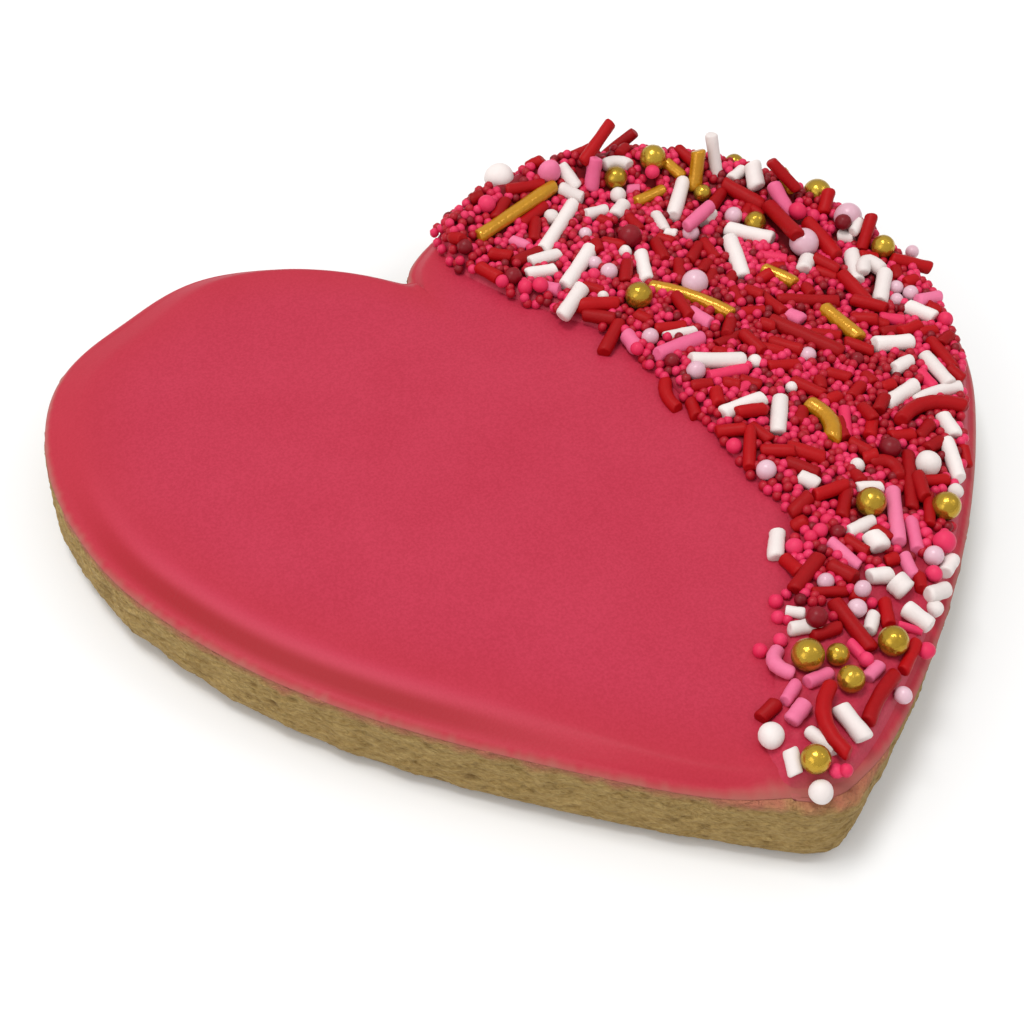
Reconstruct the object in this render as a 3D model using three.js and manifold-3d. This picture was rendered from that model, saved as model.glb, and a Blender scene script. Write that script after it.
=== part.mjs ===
// A heart-shaped sugar cookie under a skin of pink-red icing, with a crescent of mixed
// sprinkles heaped along its right side. Millimetres, +Z up, tip of the heart towards -Y.
import * as THREE from 'three';
import { mergeVertices } from 'three/addons/utils/BufferGeometryUtils.js';
import Module from 'manifold-3d';

const wasm = await Module();
wasm.setup();

// ---- Driving dimensions ----

// The heart is two round lobes, each carried on to the tip by one long, nearly straight arc.
// "turn" is how many degrees below level the lobe hands over to that arc.
const RIGHT_LOBE = { x: 19.7, y: -3.0, radius: 30.8, turn: 38.2 };
const LEFT_LOBE = { x: -20.2, y: 3.0, radius: 25.2, turn: 25.4 };
const TIP = { x: 1.1, y: -56.1 };
const CORNER_SOFTENING = 1.7;
// Where the hand-cut edge leaves those arcs: place round the rim from the tip (0 to 1,
// counter-clockwise), how far out it goes, and over what share of the rim.
const RIM_WANDER = [
  { at: 0.43, out: 0.6, over: 0.04 },
  { at: 0.6, out: 1.1, over: 0.05 },
  { at: 0.593, out: 0.35, over: 0.012 },
  { at: 0.627, out: -0.5, over: 0.012 },
  { at: 0.665, out: 0.5, over: 0.015 },
  { at: 0.735, out: -0.85, over: 0.025 },
  { at: 0.82, out: 0.5, over: 0.03 },
  { at: 0.915, out: -0.35, over: 0.025 },
  { at: 0.99, out: 0.5, over: 0.012 },
];
const MIDDLE = { x: 0, y: -6 };

const DOUGH_TOP = 7.8;
const DOUGH_SHOULDER = 1.0;
// Radius of the rounded lower edge, fuller under the left lobe.
const DOUGH_FOOT = 2.1;
const LEFT_FOOT = 3.3;
const WALL_RIPPLE = 0.15;

const ICING_TOP = 9.4;
const ICING_LIP = 0.6;
const ICING_LIP_WIDTH = 0.7;
const CLEARANCE = 0.3;
// The icing slopes off over this width: broad along the left side, tight round the rest.
const BROAD_SLOPE = 3.8;
const TIGHT_SLOPE = 1.9;
// It stops short of the rim at the tip, by this much.
const TIP_BARE = 1.4;

// The inner edge of the sprinkles, from the cleft round to the tip.
const SPRINKLE_EDGE = [
  [4.5, 23.5], [4.2, 17.5], [6.5, 12], [10, 6.5], [13.3, 1.5], [14.3, -5], [15, -13],
  [14.6, -20], [15.2, -26], [12.8, -31], [9, -35.5], [4.5, -40], [0.5, -44.5], [-3, -48.5], [-2.6, -54.8],
];
const BED_HEIGHT = 1.0;
const BED_RUN = 1.6;
const BED_BUMP = 0.1;
const BUMP_SEED = 14;
// On the far side they are heaped in a ridge, at this place and distance inside the rim.
const RIDGE = { height: 2.4, at: 0.4, along: 0.08, inset: 3.0, over: 2.5 };
const RIM_MARGIN = 0.6;
const OVERHANG_HOLD = 1.5;
const SINK = 0.4;
const END_GIRTH = 0.4;

// The sprinkles, in the two layers in which they fell, by kind. They are drawn obliquely: each
// place is given on the plane z = LEVEL, and a piece that comes to rest higher or lower really
// lies further along the line from there to EYE.
const LEVEL = 10.9;
const EYE = { x: -73.5, y: -108.6, z: 133.9 };
const SETTLE_ROUNDS = 16;
// Rods: [x, y] of both ends and the radius, then, where they have them, the sideways bow of the
// middle (to the left of the way from first to second end) and how far each end sticks up.
const RODS = [
  {
    gold: [
      [34.1, 22.3, 34.5, 19, 0.7], [26.8, 17.4, 31.1, 18, 0.7], [33.2, 1.9, 35, -1.7, 0.8],
      [44.4, 11.7, 45.4, 14.9, 0.7, 0, 0, 1],
    ],
    white: [
      [22.9, 26.9, 22.5, 22.5, 0.8], [20.7, 23.3, 22, 20.5, 0.8], [20.6, 17.9, 23.3, 17.7, 0.75],
      [11, 13.8, 14.7, 13.5, 0.75], [9.7, 12.2, 13, 11.5, 0.75],
      [27.4, 24.6, 30.1, 23.3, 0.75, 0.7], [25.9, 17.9, 23.6, 16.4, 0.85],
      [27.9, 14.8, 27.2, 11.7, 0.7], [26.8, 11.5, 28, 10.7, 0.7], [33.8, 12.3, 31.8, 11.2, 0.85],
      [41, 13.7, 43.2, 17.7, 1, 0, 0, 1], [44.2, 2.8, 45.6, 1.7, 0.75],
      [46.1, 2.6, 48.1, 3.8, 0.65], [38.9, 1.2, 37, -0.3, 0.9], [43.8, -0.1, 41.1, -4.5, 0.9],
      [43.5, -9.8, 45.2, -12.7, 0.85], [36.5, -13.1, 40.5, -14.6, 0.9],
      [36, -17.1, 38.6, -16.8, 0.8], [35.1, -21.9, 40.8, -22.3, 0.75, 0.4],
      [36.3, -24.5, 35.6, -27.5, 0.8], [34.4, -27.5, 32, -32.3, 0.75], [17.5, -2.5, 21, -3.2, 0.65],
      [12.1, -29.6, 9.9, -32.2, 0.8], [24.9, -39.8, 22.9, -40.9, 0.75],
      [17.9, -32.8, 21.1, -32.7, 0.7], [16.3, -38, 18.4, -38.8, 0.8], [19.8, -42.3, 22, -42.5, 0.8],
      [14, -41.7, 12.3, -43.2, 0.65], [7, -37.7, 8.4, -38.8, 0.55],
    ],
    pink: [
      [23.7, 21.5, 27.4, 26.4, 0.85, 0, -0.4, 2], [29.7, 11.4, 34.5, 13.4, 0.75],
      [41.3, 7.6, 43.1, 13.5, 0.85, 0, 0, 1.5], [45, -9.8, 47.8, -10.3, 0.8],
      [22.1, -0.4, 22.9, -3.2, 0.85], [15.2, -4.4, 21, -4.3, 0.85], [14.2, -0.3, 14, -2.7, 0.85],
      [25.2, -30.4, 21.4, -36.1, 0.75], [24.4, -34.2, 22.4, -37.7, 0.65],
      [20.9, -37.4, 20, -40.1, 0.65], [15.7, -32.8, 16.2, -36.7, 0.65],
      [4, -40.9, 3.4, -43.8, 0.7, -1.1], [3.1, -44.7, 0.9, -45.9, 0.6],
      [3.8, -45.1, 6.4, -45.2, 0.65], [10.9, -46.5, 8.8, -47.2, 0.65], [31.1, -5.2, 32, -7, 0.9],
    ],
    rose: [
      [10, -43.2, 10, -45.4, 0.55], [15.2, -43.7, 16.6, -45.4, 0.4],
    ],
    red: [
      [5.8, 15.6, 6.9, 12.8, 0.75], [13.3, 19.5, 17.5, 21.3, 0.7], [11.9, 5.6, 16, 4, 0.85],
      [10.5, -1.7, 14.6, 1.5, 0.75], [23.4, 27.2, 28, 28, 0.7, 0, 0, 2],
      [25.5, 26.1, 32.7, 31.3, 0.7, 0, -0.5, 3.5], [28.2, 26, 34.2, 28.5, 0.7, 0, -0.3, 2.5],
      [37.9, 16.2, 39.7, 10.7, 0.85], [40.3, 10.6, 40.1, 4.7, 0.85],
      [45, 11.4, 45.4, 17.2, 0.65, 0, 0, 2.5], [45, 6.6, 48.3, 9.8, 0.75, 0, 0, 1.5],
      [42.4, 6.3, 41.8, -0.2, 0.95], [40.5, -2.4, 40.2, -7.5, 0.8], [31.6, -2.9, 37.5, -6.2, 0.75],
      [28.8, -5.1, 32.8, -12.7, 0.9], [20.6, 9.3, 18.5, 6.5, 0.75], [35.5, -28.8, 34, -31.2, 0.6],
      [25.5, -26.5, 26.6, -29.6, 0.75, 1.4], [42.5, -15.2, 41.8, -20, 0.7],
      [29.8, -27.1, 25.3, -33.3, 0.7], [28.1, -32.3, 25.6, -35.6, 0.55],
      [14.1, -7.9, 12.9, -11.9, 0.7, -0.6], [17.8, -11.3, 16.7, -13.3, 0.75],
      [17.8, -17.3, 14.4, -21.8, 0.65], [19.5, -21.2, 21.9, -24.2, 0.85],
      [14.4, -28.5, 17.7, -27.3, 0.75], [13.8, -33.9, 9.1, -36.1, 0.75],
      [17.2, -33.3, 18.1, -35.8, 0.65], [13.9, -35.2, 15.1, -37.7, 0.8],
      [15.5, -46, 12.2, -48.1, 0.6], [-2.1, -46.3, 0.3, -45.6, 0.7], [11.5, -48, 6, -51, 0.7, -0.3],
    ],
  },
  {
    gold: [
      [8.2, 19.8, 20.5, 24, 0.8], [34.3, 16.5, 39, 22.4, 0.8, 0, -0.4, 2.5],
      [35.3, -6.1, 35.9, -11.8, 0.85], [20.4, 4.8, 25.9, -2.9, 0.8, 0.7],
      [25, -17, 24, -22.4, 0.9, 1.1],
    ],
    white: [
      [20.7, 20.3, 13.3, 14.7, 0.8], [18.3, 12.9, 12.4, 8.7, 0.85], [14.2, 8, 9.6, 4.8, 0.85],
      [34.1, 18.4, 29.3, 13.4, 0.85], [38.5, 17.9, 42.1, 24.4, 0.7, 0, -0.8, 4],
      [42.8, -3.5, 45, -4.3, 0.85, 1.7], [45.1, -4.4, 41.3, -8.2, 0.85],
      [40.4, -16.6, 40, -21.4, 0.75], [32.1, -20.8, 36.7, -19.9, 0.85], [22.7, 9.9, 20.7, 5.6, 0.8],
      [17.8, -6.6, 22.9, -9.1, 0.9], [33.5, 9.2, 37.2, 5.4, 0.9], [33, 7.9, 30.5, 1.7, 0.9],
      [16.4, -14.4, 21.5, -14.5, 0.85], [23.1, -15.1, 19.8, -19.1, 0.85],
      [18.1, -24.7, 19.1, -26.6, 0.8], [19.7, -33.9, 19.6, -35.9, 1.05],
      [18.2, -39.3, 18.3, -41.1, 1.15], [17, -42.4, 17.7, -45.3, 0.85], [6, -39.6, 9, -40.4, 0.7],
      [4.8, -48.4, 4.7, -52.3, 0.85], [0.9, -49.2, 1.7, -52.1, 0.65], [-1.6, -50, -2.8, -52.4, 0.7],
    ],
    pink: [
      [0.1, -47.8, 2.5, -46.8, 0.8],
    ],
    red: [
      [45, -0.3, 50, 4.1, 0.7, 0, 0, 2.5], [47, -2.9, 50.1, -6.1, 0.75],
      [31.9, -23.3, 39.3, -24.6, 0.8, 1.5], [11.6, -38.8, 11.2, -44.9, 0.75],
      [5.7, -46.2, 2.5, -52.9, 0.7, -1.4],
    ],
  },
];
// Round pieces: [x, y, radius].
const BALLS = [
  {
    gold: [
      [27.4, 22.1, 1.3], [33.3, 23.4, 1.5], [41.2, 18.5, 1.15], [37.2, 8.8, 1.2], [46.7, 10, 1.6],
      [47.6, -0.9, 1.3], [18.7, 4.1, 1.45], [22.4, -30.7, 1.45], [28.6, -34.4, 1.4],
      [5.8, -42.7, 1.5], [8.2, -43.9, 1.05], [13.6, -45, 1.4], [-0.3, -51.9, 1.3],
    ],
    white: [
      [15.4, 27.6, 1.65], [17.2, 19.3, 0.85], [26, 19.4, 0.9], [30.6, -29.2, 1.3],
      [-2.2, -48.2, 1.15], [-1.8, -54.7, 1.05],
    ],
    pearl: [
      [17.9, 8.7, 0.95], [25.3, 3.3, 1.4], [17.6, -8.1, 1], [16.2, -1.8, 0.9], [29.6, 10.3, 0.95],
      [35.6, 10.7, 1], [47.3, 5, 1.55], [40, 3.5, 1.6], [45.4, -8.4, 0.85], [29.4, -11.3, 0.85],
      [15.8, -22.7, 1], [23.4, -38.8, 0.95], [13, -40.5, 0.9],
    ],
    pink: [
      [21.2, 26.4, 1.25],
    ],
    wine: [
      [28.6, -25.8, 1.1], [23.2, 12.8, 1.3],
    ],
  },
  {
    gold: [
      [34.8, 15.6, 1], [7.6, -46.6, 1.25],
    ],
  },
];

// The whole is set down with the middle of its outer box over the origin.
const OUTER_BOX_MIDDLE = { x: 3.09, y: -13.18 };

// How finely the surfaces are cut into facets.
const FINE_STEPS = 500;
const RIM_STEPS = 110;
const BED_ALONG = 42;
// Where the bed is cut across, as shares of the way from the rim to its inner edge.
const BED_CUTS = [0, 0.03, 0.08, 0.35, 0.65, 0.92, 0.97, 1];
const ROD_SIDES = 6;
const LARGE_BALL = 1.5;
const FINEST_DETAIL = 0.07;
// A faceted rod or ball is made this much wider than the round one that it has the volume of.
const ROD_FULLNESS = 1.1;
const SMALL_BALL_FULLNESS = 1.18;
const LARGE_BALL_FULLNESS = 1.05;

// ---- Random numbers that come out the same each time ----

function makeRandom(seed) {
  let state = seed;
  return () => {
    state = (state * 16807) % 2147483647;
    return state / 2147483647;
  };
}

// ---- The heart's outline ----

function bell(value) {
  return Math.exp(-0.5 * value ** 2);
}

// Points from the tip to the cleft along one half; side is 1 for the right, -1 for the left.
function halfHeart(lobe, side) {
  const centre = new THREE.Vector2(lobe.x * side, lobe.y);
  const tip = new THREE.Vector2(TIP.x * side, TIP.y);
  const turn = THREE.MathUtils.degToRad(lobe.turn);
  const outward = new THREE.Vector2(Math.cos(turn), -Math.sin(turn));
  const handover = centre.clone().addScaledVector(outward, lobe.radius);
  const chord = handover.clone().sub(tip);
  const sideRadius = chord.lengthSq() / (2 * chord.dot(outward));
  const sideCentre = handover.clone().addScaledVector(outward, -sideRadius);
  const startAngle = tip.clone().sub(sideCentre).angle() - 2 * Math.PI;
  const cleftAngle = Math.PI - Math.acos(centre.x / lobe.radius);
  const path = new THREE.Path();
  path.absarc(sideCentre.x, sideCentre.y, sideRadius, startAngle, -turn);
  path.absarc(centre.x, centre.y, lobe.radius, -turn, cleftAngle);
  return path.getSpacedPoints(FINE_STEPS / 2).map((p) => new THREE.Vector2(p.x * side, p.y));
}

function spacedEvenly(loop, count) {
  const lengths = [0];
  loop.forEach((p, i) => lengths.push(lengths[i] + p.distanceTo(loop[(i + 1) % loop.length])));
  const points = [];
  let i = 0;
  for (let k = 0; k < count; k += 1) {
    const wanted = (lengths[loop.length] * k) / count;
    while (lengths[i + 1] < wanted) i += 1;
    const share = (wanted - lengths[i]) / (lengths[i + 1] - lengths[i]);
    points.push(loop[i].clone().lerp(loop[(i + 1) % loop.length], share));
  }
  return points;
}

function outwardNormals(loop) {
  return loop.map((_, i) => {
    const along = loop[(i + 1) % loop.length].clone().sub(loop.at(i - 1)).normalize();
    return new THREE.Vector2(along.y, -along.x);
  });
}

// Averages each point with its neighbours under a bell curve, which rounds the corners.
function softened(loop, spread) {
  const reach = Math.ceil(3 * spread);
  return loop.map((_, i) => {
    const sum = new THREE.Vector2();
    let total = 0;
    for (let k = -reach; k <= reach; k += 1) {
      const weight = bell(k / spread);
      sum.addScaledVector(loop[(i + k + loop.length) % loop.length], weight);
      total += weight;
    }
    return sum.divideScalar(total);
  });
}

// Shortest way round from one place on the rim to another, both 0 to 1.
function rimGap(a, b) {
  const gap = Math.abs(a - b) % 1;
  return Math.min(gap, 1 - gap);
}

function heartOutline() {
  const right = halfHeart(RIGHT_LOBE, 1);
  const left = halfHeart(LEFT_LOBE, -1).reverse().slice(0, -1);
  const even = spacedEvenly([...right, ...left], FINE_STEPS);
  const step = even[0].distanceTo(even[1]);
  const smooth = softened(even, CORNER_SOFTENING / step);
  const normals = outwardNormals(smooth);
  return smooth.map((p, i) => {
    const wander = RIM_WANDER.map((w) => w.out * bell(rimGap(i / FINE_STEPS, w.at) / w.over));
    return p.clone().addScaledVector(normals[i], wander.reduce((a, b) => a + b));
  });
}

const outline = heartOutline();

// ---- Heights ----

// How far a place lies inside the outline (negative outside), and where the nearest rim is.
function insetAt(x, y) {
  let nearest = Infinity;
  let at = 0;
  let inside = false;
  outline.forEach((a, i) => {
    const b = outline[(i + 1) % outline.length];
    const gap = Math.hypot(a.x - x, a.y - y);
    if (gap < nearest) {
      nearest = gap;
      at = i / outline.length;
    }
    if (a.y > y !== b.y > y && x < a.x + ((b.x - a.x) * (y - a.y)) / (b.y - a.y)) inside = !inside;
  });
  return { inset: inside ? nearest : -nearest, at };
}

// 0 below the first value, 1 above the second, with a smooth step between.
function ease(value, low, high) {
  return THREE.MathUtils.smoothstep(value, low, high);
}

function slopeWidth(at) {
  const broad = ease(at, 0.56, 0.64) * (1 - ease(at, 0.88, 0.97));
  return THREE.MathUtils.lerp(TIGHT_SLOPE, BROAD_SLOPE, broad);
}

function doughFoot(at) {
  return THREE.MathUtils.lerp(DOUGH_FOOT, LEFT_FOOT, bell(rimGap(at, 0.76) / 0.045));
}

// How far the icing's edge stays back from the rim.
function icingSetback(at) {
  return TIP_BARE * bell(rimGap(at, 0.995) / 0.014);
}

// Top of the dough: flat, with a rounded shoulder; "grown" adds a skin of that thickness.
function doughHeight(inset, grown) {
  const across = Math.max(DOUGH_SHOULDER - inset, 0);
  const radius = DOUGH_SHOULDER + grown;
  return DOUGH_TOP - DOUGH_SHOULDER + Math.sqrt(Math.max(radius ** 2 - across ** 2, 0));
}

// Top of the icing: a rounded lip, then a slope up to the flat.
function icingHeight(inset, at) {
  const setback = icingSetback(at);
  const edge = doughHeight(setback, CLEARANCE);
  const run = Math.max(inset - setback, 0);
  const lip = ICING_LIP * Math.sin((Math.min(run / ICING_LIP_WIDTH, 1) * Math.PI) / 2);
  const slope = THREE.MathUtils.clamp((run - ICING_LIP_WIDTH) / (slopeWidth(at) - ICING_LIP_WIDTH), 0, 1);
  return edge + lip + (ICING_TOP - edge - ICING_LIP) * slope;
}

// ---- Solids ----

function solidGeometry(points, triangles) {
  const geometry = new THREE.BufferGeometry();
  geometry.setAttribute('position', new THREE.Float32BufferAttribute(points, 3));
  geometry.setIndex(triangles);
  return geometry;
}

// A closed body through a stack of rings, each {inset, z} as functions of the place on the rim,
// capped at both ends by a fan to the heart's middle. The first ring is the lowest.
function stackedHeart(rings) {
  const rim = spacedEvenly(outline, RIM_STEPS);
  const normals = outwardNormals(rim);
  const points = [];
  const triangles = [];
  rings.forEach((ring) => rim.forEach((p, i) => {
    const arm = { x: p.x - MIDDLE.x, y: p.y - MIDDLE.y };
    const inset = ring.inset(i / RIM_STEPS);
    const scale = 1 - inset / (normals[i].x * arm.x + normals[i].y * arm.y);
    points.push(MIDDLE.x + arm.x * scale, MIDDLE.y + arm.y * scale, ring.z(i / RIM_STEPS, inset));
  }));
  const bottom = rings.length * RIM_STEPS;
  const top = bottom + 1;
  points.push(MIDDLE.x, MIDDLE.y, rings[0].z(0, Infinity), MIDDLE.x, MIDDLE.y, rings.at(-1).z(0, Infinity));
  for (let i = 0; i < RIM_STEPS; i += 1) {
    const next = (i + 1) % RIM_STEPS;
    for (let r = 0; r < rings.length - 1; r += 1) {
      const low = r * RIM_STEPS;
      const high = low + RIM_STEPS;
      triangles.push(low + i, low + next, high + next, low + i, high + next, high + i);
    }
    const last = (rings.length - 1) * RIM_STEPS;
    triangles.push(bottom, next, i, top, last + i, last + next);
  }
  return solidGeometry(points, triangles);
}

function doughGeometry() {
  const turns = (count, at) => Math.sin(2 * Math.PI * count * at);
  const ripple = (at) => WALL_RIPPLE * Math.sin(2 * Math.PI * 23 * at + 2 * turns(5, at));
  const shoulderStart = DOUGH_TOP - DOUGH_SHOULDER;
  const foot = (degrees) => {
    const turn = THREE.MathUtils.degToRad(degrees);
    return {
      inset: (at) => doughFoot(at) * (1 - Math.sin(turn)),
      z: (at) => doughFoot(at) * (1 - Math.cos(turn)),
    };
  };
  const wall = (share, shift) => ({
    inset: (at) => ripple(at + shift),
    z: (at) => THREE.MathUtils.lerp(doughFoot(at), shoulderStart, share),
  });
  const shoulder = (inset) => ({ inset: () => inset, z: () => doughHeight(inset, 0) });
  return stackedHeart([
    foot(0),
    foot(30),
    foot(60),
    foot(90),
    wall(0.35, 0),
    wall(0.7, 0.02),
    shoulder(0),
    shoulder(DOUGH_SHOULDER * 0.3),
    shoulder(DOUGH_SHOULDER),
  ]);
}

function icingSkinGeometry() {
  const under = (extra) => ({
    inset: (at) => icingSetback(at) + extra,
    z: (at, inset) => doughHeight(inset, CLEARANCE),
  });
  const over = (share) => ({
    inset: (at) => icingSetback(at) + share(at),
    z: (at, inset) => (inset === Infinity ? ICING_TOP : icingHeight(inset, at)),
  });
  return stackedHeart([
    under(DOUGH_SHOULDER),
    under(0.35),
    under(0),
    over(() => 0.2),
    over(() => ICING_LIP_WIDTH),
    over((at) => slopeWidth(at)),
  ]);
}

const sprinkleEdge = new THREE.SplineCurve(SPRINKLE_EDGE.map(([x, y]) => new THREE.Vector2(x, y)));
const sprinkleEdgePoints = sprinkleEdge.getSpacedPoints(BED_ALONG);

// The rim beside the sprinkles, from the cleft side to the tip.
function sprinkleRimPoints() {
  const nearestStep = ([x, y]) => insetAt(x, y).at * FINE_STEPS;
  const first = nearestStep(SPRINKLE_EDGE[0]);
  const last = nearestStep(SPRINKLE_EDGE.at(-1)) - FINE_STEPS;
  const normals = outwardNormals(outline);
  return sprinkleEdgePoints.map((_, k) => {
    const i = Math.round(THREE.MathUtils.lerp(first, last, k / BED_ALONG) + FINE_STEPS) % FINE_STEPS;
    return outline[i].clone().addScaledVector(normals[i], -RIM_MARGIN);
  });
}

const sprinkleRim = sprinkleRimPoints();
const sprinkleRegion = [...sprinkleEdgePoints, ...sprinkleRim.slice().reverse()];

// How far a place lies inside the region of the sprinkles.
function insideSprinkles(x, y) {
  let inside = false;
  let nearest = Infinity;
  sprinkleRegion.forEach((a, i) => {
    const b = sprinkleRegion[(i + 1) % sprinkleRegion.length];
    nearest = Math.min(nearest, Math.hypot(a.x - x, a.y - y));
    if (a.y > y !== b.y > y && x < a.x + ((b.x - a.x) * (y - a.y)) / (b.y - a.y)) inside = !inside;
  });
  return inside ? nearest : -nearest;
}

// The bed of fine beads over the icing: level, with the ridge on the far side.
function bedHeight(inset, at) {
  const ridge = bell((inset - RIDGE.inset) / RIDGE.over) * bell(rimGap(at, RIDGE.at) / RIDGE.along);
  return BED_HEIGHT + RIDGE.height * ridge;
}

// What a sprinkle comes to rest on: the icing and, inside the region, the bed. One that hangs
// over the rim is held by what lies OVERHANG_HOLD inside it.
function restingHeight(x, y) {
  const { inset, at } = insetAt(x, y);
  const held = Math.max(inset, OVERHANG_HOLD);
  const inside = inset < OVERHANG_HOLD ? OVERHANG_HOLD - RIM_MARGIN : insideSprinkles(x, y);
  return icingHeight(held, at) + bedHeight(held, at) * ease(inside, 0, BED_RUN);
}

function quadTriangles([a, b, c, d]) {
  return [a, b, c, a, c, d];
}

// The bed is a closed lens between the rim and the region's inner edge, its underside sunk
// into the icing and its top uneven.
function bedGeometry() {
  const columns = BED_CUTS.length;
  const random = makeRandom(BUMP_SEED);
  const points = [];
  const triangles = [];
  const top = [];
  const bottom = [];
  const addPoint = (x, y, z) => points.push(x, y, z) / 3 - 1;
  for (let i = 0; i <= BED_ALONG; i += 1) {
    BED_CUTS.forEach((share, j) => {
      const p = sprinkleRim[i].clone().lerp(sprinkleEdgePoints[i], share);
      const { inset, at } = insetAt(p.x, p.y);
      const onEdge = i === 0 || i === BED_ALONG || j === 0 || j === columns - 1;
      const sunk = Math.max(icingHeight(inset, at) - SINK, doughHeight(inset, CLEARANCE));
      const under = addPoint(p.x, p.y, sunk);
      const bump = BED_BUMP * (2 * random() - 1);
      bottom.push(under);
      top.push(onEdge ? under : addPoint(p.x, p.y, restingHeight(p.x, p.y) + bump));
    });
  }
  for (let i = 0; i < BED_ALONG; i += 1) {
    for (let j = 0; j < columns - 1; j += 1) {
      const a = i * columns + j;
      const corners = [a, a + 1, a + columns + 1, a + columns];
      triangles.push(...quadTriangles(corners.map((c) => top[c])));
      triangles.push(...quadTriangles(corners.map((c) => bottom[c]).reverse()));
    }
  }
  return solidGeometry(points, triangles);
}

// ---- The heap of sprinkles ----

// Every sprinkle already laid down, as small balls that the next one can rest on.
const laid = [];

// Lowest heights of the two ends at which the piece rests on the bed and on what lies there.
function settle(samples, radius) {
  const needs = samples.map(({ x, y, girth }) => {
    let height = restingHeight(x, y) + radius - SINK;
    laid.forEach((ball) => {
      const reach = girth + ball.girth - SINK;
      const across = (ball.x - x) ** 2 + (ball.y - y) ** 2;
      if (across < reach ** 2) height = Math.max(height, ball.z + Math.sqrt(reach ** 2 - across));
    });
    return height;
  });
  const ends = [needs[0], needs.at(-1)];
  samples.forEach(({ t }, k) => {
    const short = needs[k] - ends[0] * (1 - t) - ends[1] * t;
    const raise = Math.max(short, 0);
    ends[0] += raise;
    ends[1] += raise;
  });
  return ends;
}

// The curve along a rod's middle, seen from above.
function rodPath(x1, y1, x2, y2, bow) {
  const length = Math.hypot(x2 - x1, y2 - y1);
  const control = new THREE.Vector2((x1 + x2) / 2, (y1 + y2) / 2);
  control.x -= (2 * bow * (y2 - y1)) / length;
  control.y += (2 * bow * (x2 - x1)) / length;
  return new THREE.QuadraticBezierCurve(new THREE.Vector2(x1, y1), control, new THREE.Vector2(x2, y2));
}

// Points along a rod, with how far it reaches round each: less at the ends, which are cut off.
function rodSamples(path, radius) {
  const count = Math.max(Math.ceil(path.getLength()), 2);
  return path.getPoints(count).map(({ x, y }, i) => {
    const girth = i === 0 || i === count ? radius * END_GIRTH : radius;
    return { x, y, t: i / count, girth };
  });
}

// Where a place drawn on the plane z = LEVEL lies once it is at another height.
function alongSight(x, y, z) {
  const share = (z - LEVEL) / (EYE.z - LEVEL);
  return [x + (EYE.x - x) * share, y + (EYE.y - y) * share];
}

// How high a piece rests and where it lies depend on each other, so both are closed in on in
// rounds of ever smaller steps.
function layRod([x1, y1, x2, y2, radius, bow = 0, lift1 = 0, lift2 = 0]) {
  let [z1, z2] = [LEVEL, LEVEL];
  const pathNow = () => rodPath(...alongSight(x1, y1, z1), ...alongSight(x2, y2, z2), bow);
  for (let round = 0; round < SETTLE_ROUNDS; round += 1) {
    const ends = settle(rodSamples(pathNow(), radius), radius);
    z1 += (ends[0] + lift1 - z1) / (round + 2);
    z2 += (ends[1] + lift2 - z2) / (round + 2);
  }
  const path = pathNow();
  const samples = rodSamples(path, radius);
  const ends = settle(samples, radius);
  z1 = Math.min(z1, ends[0] + lift1);
  z2 = Math.min(z2, ends[1] + lift2);
  samples.forEach(({ x, y, t, girth }) => laid.push({ x, y, z: z1 + (z2 - z1) * t, girth }));
  return rodGeometry(path, z1, z2, bow, radius);
}

function rodGeometry({ v0, v1, v2 }, z1, z2, bow, radius) {
  const first = new THREE.Vector3(v0.x, v0.y, z1);
  const middle = new THREE.Vector3(v1.x, v1.y, (z1 + z2) / 2);
  const second = new THREE.Vector3(v2.x, v2.y, z2);
  const curve = new THREE.QuadraticBezierCurve3(first, middle, second);
  const section = new THREE.Shape();
  section.absarc(0, 0, radius * ROD_FULLNESS, 0, 2 * Math.PI);
  const steps = Math.abs(bow) > 0.5 ? 4 : 1;
  return new THREE.ExtrudeGeometry(section, { extrudePath: curve, steps, curveSegments: ROD_SIDES / 2 });
}

function layBall([drawnX, drawnY, radius]) {
  let z = LEVEL;
  const placeNow = () => alongSight(drawnX, drawnY, z);
  const restAt = ([x, y]) => settle([{ x, y, t: 0, girth: radius }], radius)[0];
  for (let round = 0; round < SETTLE_ROUNDS; round += 1) z += (restAt(placeNow()) - z) / (round + 2);
  const [x, y] = placeNow();
  z = Math.min(z, restAt([x, y]));
  laid.push({ x, y, z, girth: radius });
  const ball = radius > LARGE_BALL
    ? new THREE.IcosahedronGeometry(radius * LARGE_BALL_FULLNESS, 1)
    : new THREE.IcosahedronGeometry(radius * SMALL_BALL_FULLNESS, 0);
  return ball.translate(x, y, z);
}

function sprinkleGeometries() {
  return BALLS.flatMap((ballsInLayer, layer) => [
    ...Object.values(ballsInLayer).flat().map(layBall),
    ...Object.values(RODS[layer]).flat().map(layRod),
  ]);
}

// ---- Joining ----

// A closed body for joining: only positions, shared vertices merged, no collapsed triangles.
function toManifold(geometry) {
  const bare = new THREE.BufferGeometry();
  bare.setAttribute('position', geometry.getAttribute('position'));
  bare.setIndex(geometry.getIndex());
  const merged = mergeVertices(bare, 1e-4);
  const corners = Array.from(merged.getIndex().array);
  const kept = corners.filter((_, i) => {
    const start = i - (i % 3);
    return new Set(corners.slice(start, start + 3)).size === 3;
  });
  const vertProperties = Float32Array.from(merged.getAttribute('position').array);
  return new wasm.Manifold(new wasm.Mesh({ numProp: 3, vertProperties, triVerts: Uint32Array.from(kept) }));
}

// The joined body without loose scraps, and with any sealed pocket filled.
function largestPiece(body) {
  return body.decompose().reduce((best, piece) => (piece.volume() > best.volume() ? piece : best));
}

function toGeometry(body) {
  const { vertProperties, triVerts } = body.getMesh();
  return solidGeometry(Array.from(vertProperties), Array.from(triVerts));
}

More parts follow.
